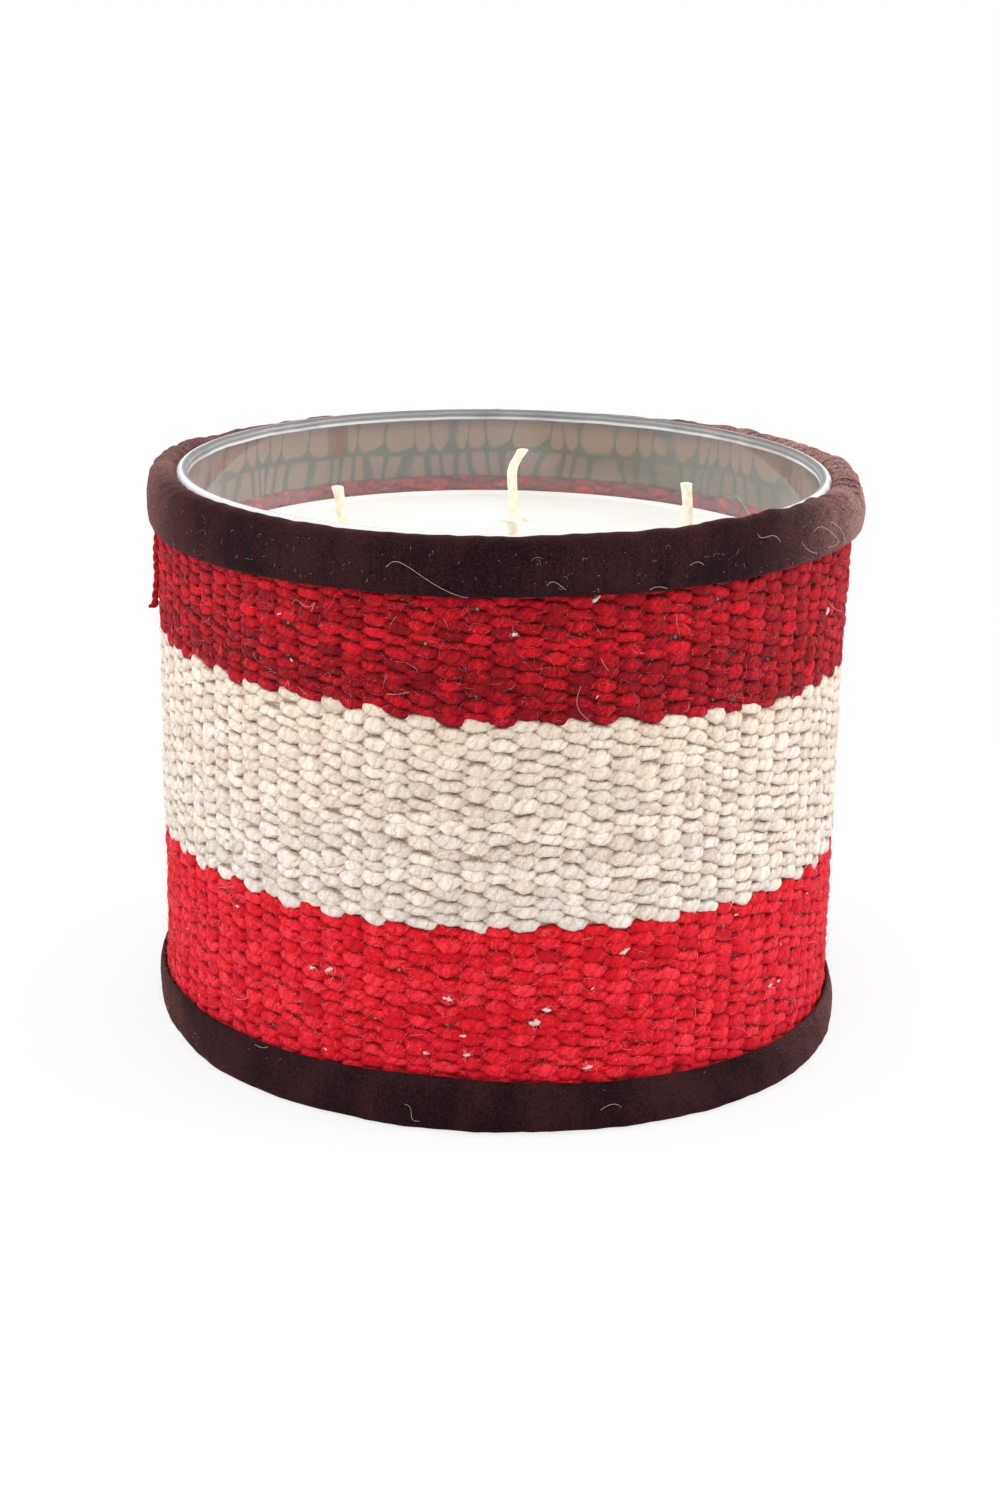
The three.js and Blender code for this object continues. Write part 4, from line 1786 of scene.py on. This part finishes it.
    def build(self) -> None:
        for band, span in zip(self.bands, self.spans):
            middle = span.start + band.rows // 2
            lower = self.weft(f"{band.colour}_weft_lower", slice(span.start, middle))
            dress(lower, Body.SLEEVE, band.wool)
            upper = self.weft(f"{band.colour}_weft_upper", slice(middle, span.stop))
            dress(upper, Body.SLEEVE, band.wool, f"{band.colour}_band")
        dress(self.warp_yarns(), Body.SLEEVE, LinenThread("warp_linen", "cream_wool"))
        dress(self.fuzz(), Body.SLEEVE, LooseFibre("loose_wool", "crimson_wool", FUZZ_COLOURS))
        pale = LooseFibre("pale_stray", "crimson_wool", (tone(232, 178, 172),))
        dress(Stray.tubes("pale_strays", self.strays), Body.SLEEVE, pale)
        undyed = LooseFibre("undyed_nep", "cream_wool", (tone(216, 172, 162),))
        dress(self.flecks(), Body.SLEEVE, undyed)
        # The web's finish paints shade in the gaps of the weave.
        web = dress(self.web(), Body.SLEEVE, LooseFibre("cloth_shade_web", "cream_wool", WEB_SHADE_COLOURS, pale_share=0.0))


TOP_HAIRS = (
    Stray(((-28.1, 145.4), (-26.9, 146.7), (-23.9, 146.7), (-21.2, 144.7), (-14.8, 141.4), (-8.1, 139.1)), 96.4),
    Stray(((10.6, 142.2), (12.0, 143.2), (13.7, 142.4), (15.2, 141.2)), 96.3),
    Stray(((36.2, 140.2), (38.3, 140.8), (41.0, 140.1)), 96.3),
    Stray(((46.9, 145.2), (48.8, 146.0), (50.9, 145.0)), 96.3),
    Stray(((67.6, 152.8), (64.6, 156.0), (62.5, 158.6), (60.5, 160.2)), 92.0),
    Stray(((89.5, 148.5), (94.6, 148.7), (100.2, 145.9), (103.8, 143.4), (97.5, 143.0)), 97.6),
    Stray(((67.5, 150.8), (69.6, 149.8), (72.5, 149.9), (75.7, 147.9)), 97.0),
    Stray(((97.9, 149.6), (104.8, 146.3), (108.4, 142.2)), 97.8),
    Stray(((84.1, 146.8), (87.1, 144.3), (91.6, 142.5)), 97.6),
)
FOOT_HAIRS = (
    Stray(((-22.6, 7.0), (-21.0, 5.5), (-20.8, 3.4), (-18.9, 2.7)), 97.0),
    Stray(((-67.6, 13.2), (-65.1, 13.1), (-62.9, 14.0)), 95.8),
    Stray(((27.3, 6.2), (30.5, 7.5), (33.0, 6.3)), 98.2),
)
CREST = (
    (-180, -0.7), (-134, -0.7), (-126, -0.6), (-118, -0.3), (-110, 0.4), (-100, 1.4), (-80, 1.2), (-58, 0.8),
    (-46, 1.0), (-28, 0.6), (-15, 0.8), (0, 1.1), (14, 1.7), (26, 1.9), (36, 2.6), (52, 2.4), (64, 1.4), (80, 1.0),
    (120, 0.7), (140, 0.0), (156, -0.4), (180, -0.7),
)
BULGE = (
    (-180, 0.0), (-85, -0.2), (-66, -1.0), (-50, 0.3), (-35, 1.0), (-10, 1.6), (5, 2.2), (20, 2.8), (35, 3.4),
    (48, 3.8), (60, 2.8), (75, 0.9), (90, 0.2), (180, 0.0),
)


@dataclass
class VelvetBinding:
    """A strip of velvet folded over one edge of the cloth, a little gathered where it turns."""

    name: str
    node: str
    edge: Edge
    outer_leg: float
    inner_leg: float
    slope: float
    specks: int
    roundness: float = 3.2
    steps: int = 600
    thickness: float = 1.4
    off_glass: float = 0.3
    off_table: float = 0.1
    lap_turn: float = 125.0
    lap_width: float = 2.6
    lap_height: float = 0.35
    gather_height: float = 0.55
    gather_lean: float = 1.7
    stitch_pitch: float = 6.2
    stitch_pull: float = 0.16
    speck_thickness: float = 0.055
    seed: int = 7
    strays: tuple[Stray, ...] = ()

    def __post_init__(self) -> None:
        """Reads where the frame holds the fold and the cloth."""
        low, high = box_of(self.node)
        self.on_top = self.edge is Edge.TOP
        self.fold = high.z if self.on_top else low.z
        self.outer = high.x
        self.inner = box_of("glass_vessel")[1].x + self.off_glass
        self.cloth = box_of("crimson_band")[1].x

    def profile(self) -> Profile:
        """Draws the closed section of the fold.

        Returns:
            Its radii, and its heights measured down from the fold.
        """
        out, leg, inside, turn = self.outer, self.outer_leg, self.inner_leg, self.roundness
        lining = self.inner + self.thickness
        return Bench.rounded([
            (self.cloth - 0.1, -leg + 0.7),
            (self.cloth + 0.7, -leg),
            (out - 0.5, -leg + 0.5),
            (out, -leg + 2.6),
            (out + 0.15, -leg * 0.55),
            (out, -turn * 1.3),
            (out - turn * 0.3, -turn * 0.3),
            (out - turn, 0.12),
            (self.inner + 1.9, 0.1),
            (self.inner + 0.1, -1.6),
            (self.inner, -4.5),
            (self.inner, -inside * 0.6),
            (self.inner, -inside + 0.8),
            (self.inner + 0.4, -inside),
            (lining, -inside + 0.1),
            (lining, -inside * 0.6),
            (lining, -4.5),
            (lining + 0.8, -2.4),
            (out - turn - 0.4, -1.6),
            (self.cloth + 0.3, -turn - 0.6),
            (self.cloth + 0.2, -leg * 0.5),
        ], 2)

    def build_mesh(self) -> bpy.types.Object:
        """Spins the section, then pulls, gathers and laps it as the sewn strip is.

        Returns:
            The binding.
        """
        section = [(radius, self.fold + self.edge.value * height) for radius, height in self.profile()]
        piece = Bench.spun(self.name, section, self.steps)
        normals = Bench.read(piece, "normal")
        points = Bench.places(piece) / MM
        spread = np.linalg.norm(points[:, :2], axis=1)
        turns = np.degrees(np.arctan2(points[:, 1], points[:, 0])) % 360
        down = (self.fold - points[:, 2]) * self.edge.value
        outside = ease(spread, self.inner + self.thickness + 0.6, self.cloth)
        share = np.clip(down / np.where(outside > 0.5, self.outer_leg, self.inner_leg), 0, 1)
        shift = outside * share * (self.slope * np.cos(np.radians(turns)) + self._rise(turns))
        points[:, 2] += shift + self._crest(turns) * (1 - share)
        push = self._gathers(turns, down, outside) + self._softness(turns, down, outside) + self._lap(turns)
        push = push * np.where(1 - outside > 0.5, ease(-down, -6.0, -1.0), 1.0)
        points += normals * push[:, None]
        points[:, :2] *= ((spread + outside * self._slack(turns, down)) / spread)[:, None]
        points[:, 2] = np.maximum(points[:, 2], self.off_table)
        Bench.set_places(piece, points * MM)
        self._mark(piece, turns, down, spread)
        Bench.smooth(piece, 80)
        return piece

    def _crest(self, turns: np.ndarray) -> np.ndarray:
        """Returns how much higher than even the upper fold stands, all the way round."""
        return np.interp(from_front(turns), *zip(*CREST)) * self.on_top

    def _rise(self, turns: np.ndarray) -> np.ndarray:
        """Returns how much further than its even width the lower strip's outer leg reaches over the cloth."""
        return 1.8 * hill(from_front(turns), -7, 27) * (not self.on_top)

    def _slack(self, turns: np.ndarray, down: np.ndarray) -> np.ndarray:
        """Works out where the strip is slack.

        Args:
            turns: The turn of each place.
            down: How far it lies from the fold.

        Returns:
            How far the strip bulges outwards there.
        """
        front = from_front(turns)
        if self.on_top:
            return 1.4 * hill(front, 88, 32) * ease(down, 3.0, 9.0)
        return np.interp(front, *zip(*BULGE)) * (1 - ease(down, 2.0, 12.0))

    def _gathers(self, turns: np.ndarray, down: np.ndarray, outside: np.ndarray) -> np.ndarray:
        """Draws the gathers, which lean and fade away from the fold, and are deepest at the right and the left.

        Args:
            turns: The turn of each place.
            down: How far it lies from the fold.
            outside: Its share of the outer leg.

        Returns:
            The height of the gathers there.
        """
        front = from_front(turns)
        arc = np.radians(front) * self.outer
        amount = 0.16 + (hill(front, 86, 36) + 0.25 * hill(front, -97, 26)) if self.on_top else 0.1
        folds = smooth_noise(np.random.default_rng(self.seed + 50), 2, 720, 1.5)
        steps = np.radians(np.arange(720) / 2 - 180) * self.outer
        lean = arc + self.gather_lean * down + 0.8 * np.sin(arc / 9.0)
        waves = np.interp(lean, steps, folds[0]) + 0.4 * np.interp(lean - 2.2 * down, steps, folds[1])
        return self.gather_height * amount * hill(down, 0, 2.6 + 3.6 * outside) * waves

    def _softness(self, turns: np.ndarray, down: np.ndarray, outside: np.ndarray) -> np.ndarray:
        """Draws slow swells of the padded strip, and the pull of the hidden stitches at its hem.

        Args:
            turns: The turn of each place.
            down: How far it lies from the fold.
            outside: Its share of the outer leg.

        Returns:
            How far the strip stands off there.
        """
        arc = np.radians(turns) * self.outer
        swell = 0.12 * np.sin(arc / 11.0 + 0.5 * np.sin(arc / 23.0)) + 0.08 * np.sin(arc / 4.7 + down / 3.0)
        hem = hill(down - self.outer_leg, -1.2, 1.6)
        stitches = self.stitch_pull * hem * (0.5 + 0.5 * np.cos(2 * math.pi * arc / self.stitch_pitch))
        return outside * (swell - stitches)

    def _from_lap(self, turns: np.ndarray, radius: float) -> np.ndarray:
        """Returns the arc from the lap to each place, in millimetres."""
        return np.radians((turns - self.lap_turn + 180) % 360 - 180) * radius

    def _lap(self, turns: np.ndarray) -> np.ndarray:
        """Draws the step where the two ends of the strip lap.

        Args:
            turns: The turn of each place.

        Returns:
            The height of the step there.
        """
        arc, half = self._from_lap(turns, self.outer), self.lap_width
        return self.lap_height * ease(arc, -half, -half + 0.8) * (1 - ease(arc, half + 3, half + 5))

    def _mark(self, piece: bpy.types.Object, turns: np.ndarray, down: np.ndarray, spread: np.ndarray) -> None:
        """Marks where the strip's inner leg lies, where its ends lap, and the sides that the finish paints paler with
        brushed pile and painted sheen.

        Args:
            piece: The binding.
            turns: The turn of each vertex.
            down: How far it lies from the fold.
            spread: Its distance from the upright axis.
        """
        leg = ease(self.inner + 0.7 - spread, 0.0, 0.5) * ease(down, 1.0, 3.0)
        strip = 1 - ease(np.abs(self._from_lap(turns, self.inner)), self.lap_width - 0.5, self.lap_width + 0.3)
        front = from_front(turns)
        # The right and left sides, where the finish paints brushed pile and painted sheen.
        right = ease(front, 42, 86) * (1 - ease(front, 130, 170))
        left = 0.42 * ease(-front, 55, 85) * (1 - ease(-front, 130, 170))
        Bench.note(piece, "inside", leg)
        Bench.note(piece, "lapped", leg * strip)
        Bench.note(piece, "wear_and_sheen", (right + left) * (1.0 if self.on_top else 0.2))

    def lint(self) -> bpy.types.Object:
        """Scatters pale lint and curled hairs that cling to the outside of the velvet.

        Returns:
            The lint as one piece.
        """
        dice, count = np.random.default_rng(self.seed + 100), self.specks
        low, high = sorted((self.fold, self.fold - self.edge.value * self.outer_leg))
        outward, sideways = ways_at(turns := dice.uniform(0, 360, count))
        heights = dice.uniform(low + 1.0, high - 0.8, count)
        ways = tilted(sideways, dice.uniform(0, 2 * math.pi, len(turns))) + outward * 0.15
        roots = outward * (self.outer + 0.15) + UP * heights[:, None]
        lengths = (dice.gamma(1.2, 0.45, count) + 0.35) * np.where(dice.uniform(0, 1, count) < 0.06, 2.6, 1.0) * MM
        rings = Bench.hairs(dice, roots * MM, ways, lengths, 3.2, self.speck_thickness, 8)
        return Bench.tubes(f"{self.name}_lint", rings, {"lot": FIRST_LOT})

    def build(self, velvet: Finish, fluff: Finish, pale: Finish) -> None:
        """Args:
            velvet: The finish of the strip.
            fluff: The finish of the lint.
            pale: The finish of the long hairs.
        """
        piece = dress(self.build_mesh(), Body.SLEEVE, velvet, self.node)
        hairs = [
            dress(self.lint(), Body.SLEEVE, fluff),
            dress(Stray.tubes(f"{self.name}_hairs", self.strays), Body.SLEEVE, pale),
        ]
        width = (self.outer_leg + self.inner_leg + (self.outer - self.inner) - 1) * MM
        length = math.pi * (self.outer + self.inner) * MM


@dataclass
class SeamTrim:
    """The thread that laces the seam and the loose end of yarn that hangs beside it."""

    seam_turn: float = 182.0
    seam_radius: float = 92.95
    seam_depth: float = 1.0
    half_width: float = 1.8
    stitch: float = 7.6
    thread: float = 0.9
    thread_pitch: float = 2.4
    tail_thickness: float = 2.0
    tail_pitch: float = 5.2
    tail_turn: float = 185.5
    tail_radius: float = 93.7
    tail_tuck: float = 1.2
    tail_drop: float = 2.6
    tail_hook: float = 1.7
    tail_seed: int = 3

    def lacing(self) -> bpy.types.Object:
        """Draws the two-ply thread, to and fro across the seam and down into the cloth at each side.

        Returns:
            The thread.
        """
        low, high = box_of("seam_lacing")
        bottom, top = low.z + self.thread / 2, high.z - self.thread / 2
        stitches = max(1, round((top - bottom) / self.stitch))
        share = np.linspace(0, 1, stitches * 16 + 1)
        swing = np.sin(2 * math.pi * stitches * share)
        radius = self.seam_radius - self.seam_depth * np.abs(swing) ** 3
        angle = math.radians(self.seam_turn) + self.half_width * swing / radius
        path = all_round(radius, angle, bottom + (top - bottom) * share)
        return self._twisted("linen_lacing", path, self.thread / 4, self.thread_pitch, self.thread * 0.27, 6, 1.6)

    @staticmethod
    def _twisted(
        name: str, path: np.ndarray, offset: float, pitch: float, radii: Any, sides: int, girth: float,
        notes: Optional[dict[str, Any]] = None,
    ) -> bpy.types.Object:
        """Winds two plies about a path.

        Args:
            name: The piece's name.
            path: The path, in millimetres.
            offset: How far a ply's middle lies from the path.
            pitch: The length of one twist.
            radii: The radius of a ply, the same all along or one for each point.
            sides: How many points a ring has.
            girth: The way round a ply in the UV map.
            notes: Numbers that the finish reads.

        Returns:
            The plies as one piece.
        """
        along = np.gradient(path, axis=0)
        along /= np.linalg.norm(along, axis=1, keepdims=True)
        out = path * [1, 1, 0]
        out = out - along * (out * along).sum(1, keepdims=True)
        out /= np.linalg.norm(out, axis=1, keepdims=True)
        side = np.cross(along, out)
        length = travelled(path)
        winds = [(2 * math.pi * length / pitch + start)[:, None] for start in (0.0, math.pi)]
        plies = np.stack([path + offset * (out * np.cos(wind) + side * np.sin(wind)) for wind in winds])
        rings = Bench.ringed(plies * MM, np.broadcast_to(radii * MM, plies.shape[:2]), sides)
        return Bench.tubes(name, rings, notes, np.broadcast_to(length * MM, plies.shape[:2]), girth)

    def tail(self) -> bpy.types.Object:
        """Draws the loose yarn: two plies that hang from under the velvet, hook aside and fray at the tip.

        Returns:
            The yarn.
        """
        low, high = box_of("yarn_tail")
        top, bottom = high.z + self.tail_tuck, low.z + self.tail_thickness / 2 - self.tail_drop
        share = np.linspace(0, 1, 90)
        hook = np.clip(1 + (share - 1) / 0.2, 0, 1)
        sway = 0.35 * np.sin(2 * math.pi * share * 1.3)
        radius = self.tail_radius - 0.5 * (1 - ease(share, 0.0, 0.25)) + 0.7 * ease(share, 0.45, 0.75)
        radius = radius + self.tail_hook * hook**2
        angle = math.radians(self.tail_turn) + sway * share / self.tail_radius
        path = all_round(radius, angle, top - (top - bottom) * np.sin(share * math.pi / 2))
        slub = 1 + 0.06 * smooth_noise(np.random.default_rng(self.tail_seed), 1, len(share), 3.0)[0]
        radii = self.tail_thickness * 0.37 * ((1 - 0.45 * ease(share, 0.8, 1.0)) * slub)
        notes = {"crest": 0.8, "tone": 0.1, "lot": 0.6}
        offset = self.tail_thickness * 0.17
        return self._twisted("loose_yarn_end", path, offset, self.tail_pitch, radii, 9, 4.0, notes)

    def build(self) -> None:
        """Builds and dresses the lacing and the yarn tail."""
        dress(self.lacing(), Body.SLEEVE, LinenThread("lacing_linen", "lacing_thread"), "seam_lacing")
        dress(self.tail(), Body.SLEEVE, CRIMSON, "yarn_tail")


# The studio


@dataclass(frozen=True)
class AreaLamp:
    """A soft square lamp that looks at a point."""

    name: str
    place: Point
    aim: Point
    size: float
    power: float

    def build(self) -> None:
        """Adds the lamp."""
        data = bpy.data.lights.new(self.name, "AREA")
        data.shape, data.size, data.energy = "SQUARE", self.size, self.power
        lamp = bpy.data.objects.new(self.name, data)
        way = Vector(self.aim) - Vector(self.place)
        lamp.matrix_world = Matrix.Translation(self.place) @ way.to_track_quat("-Z", "Y").to_matrix().to_4x4()
        bpy.context.scene.collection.objects.link(lamp)


@dataclass
class Studio:
    """The camera of the photograph, the soft lamps, the white surround and the pale floor."""

    eye: Point = (0.0, -0.70993, 0.29144)
    pitch: float = 17.194
    yaw: float = -0.011
    roll: float = 0.962
    lens: float = 63.9
    ambient: float = 0.55
    floor_drop: float = 0.1
    floor_radius: float = 40.0
    lamps: tuple[AreaLamp, ...] = (
        AreaLamp("key", (-0.6, -1.7, 1.5), (0, 0, 0.08), 1.4, 16.0),
        AreaLamp("left", (-1.7, 0.1, 0.7), (0, 0, 0.08), 1.1, 16.5),
        AreaLamp("right", (1.7, 0.1, 0.7), (0, 0, 0.08), 1.1, 24.0),
        AreaLamp("overhead", (0, 0.1, 1.4), (0, 0, 0.12), 1.0, 6.5),
        *(AreaLamp(f"strip_{i}", ((i - 4.5) * 0.078, -1.3, 1.3), (0, 0, 0.15), 0.022, 0.3) for i in range(10)),
    )

    def build_camera(self) -> None:
        """Sets the camera where the photograph was taken from."""
        data = bpy.data.cameras.new("photo_camera")
        data.sensor_fit, data.sensor_width, data.lens = "AUTO", 36.0, self.lens
        data.clip_start, data.clip_end = 0.01, 100.0
        camera = bpy.data.objects.new("photo_camera", data)
        camera.matrix_world = (
            Matrix.Translation(self.eye)
            @ Matrix.Rotation(math.radians(self.yaw), 4, "Z")
            @ Matrix.Rotation(math.radians(90 - self.pitch), 4, "X")
            @ Matrix.Rotation(math.radians(self.roll), 4, "Z")
        )
        bpy.context.scene.collection.objects.link(camera)
        bpy.context.scene.camera = camera

    def build_world(self) -> None:
        """Surrounds the candle with white, at full strength only where it is seen or mirrored."""
        world = bpy.data.worlds.new("white_surround")
        bpy.context.scene.world = world
        desk = NodeDesk(world)
        soft = desk.node("Background", {}, {"Color": (1.0, 1.0, 1.0), "Strength": self.ambient})
        white = desk.node("Background", {}, {"Color": (1.0, 1.0, 1.0), "Strength": 1.0})
        seen = [desk.node("LightPath", {}, {}, f"Is {way} Ray") for way in ("Camera", "Glossy", "Transmission")]
        share = desk.clamp(seen[0] + seen[1] + seen[2])
        desk.end(desk.node("MixShader", {}, {0: share, 1: soft, 2: white}), "OutputWorld")

    def build_floor(self) -> None:
        """Lays the pale floor under the candle."""
        Bench.clear()
        below = (0, 0, -self.floor_drop * MM)
        bpy.ops.mesh.primitive_circle_add(vertices=96, radius=self.floor_radius, fill_type="NGON", location=below)
        bpy.ops.object.transform_apply(location=True)
        floor = bpy.context.object
        floor.name = floor.data.name = "studio_floor"
        floor.data.materials.append(PaleFloor("pale_floor", "").material)

    def build(self) -> None:
        """Builds the whole studio and its plain picture settings."""
        self.build_camera()
        self.build_world()
        self.build_floor()
        for lamp in self.lamps:
            lamp.build()
        bpy.context.scene.view_settings.view_transform = "Standard"


def main() -> None:
    """Builds the studio and then each sub-assembly."""
    logging.basicConfig(level=logging.INFO, format="%(name)s: %(message)s")
    Studio().build()
    LOG.info("studio ready")
    PouredCandle().build()
    LOG.info("poured candle ready")
    WovenCloth().build()
    LOG.info("woven cloth ready")
    velvet = CottonVelvet("aubergine_velvet", "velvet")
    fluff = LooseFibre("pale_lint", "velvet", (tone(160, 132, 130),))
    pale = LooseFibre("pale_hair", "velvet", (tone(226, 206, 190),))
    top = VelvetBinding(
        "velvet_top", "top_binding", Edge.TOP, outer_leg=13.2, inner_leg=20.0, slope=1.2, specks=440, strays=TOP_HAIRS
    )
    bottom = VelvetBinding(
        "velvet_bottom", "bottom_binding", Edge.BOTTOM, outer_leg=11.9, inner_leg=18.0, slope=-2.2, specks=430,
        roundness=1.5, seed=8, strays=FOOT_HAIRS,
    )
    for binding in (top, bottom):
        binding.build(velvet, fluff, pale)
    LOG.info("velvet bindings ready")
    SeamTrim().build()
    LOG.info("seam ready")


if __name__ == "__main__":
    main()
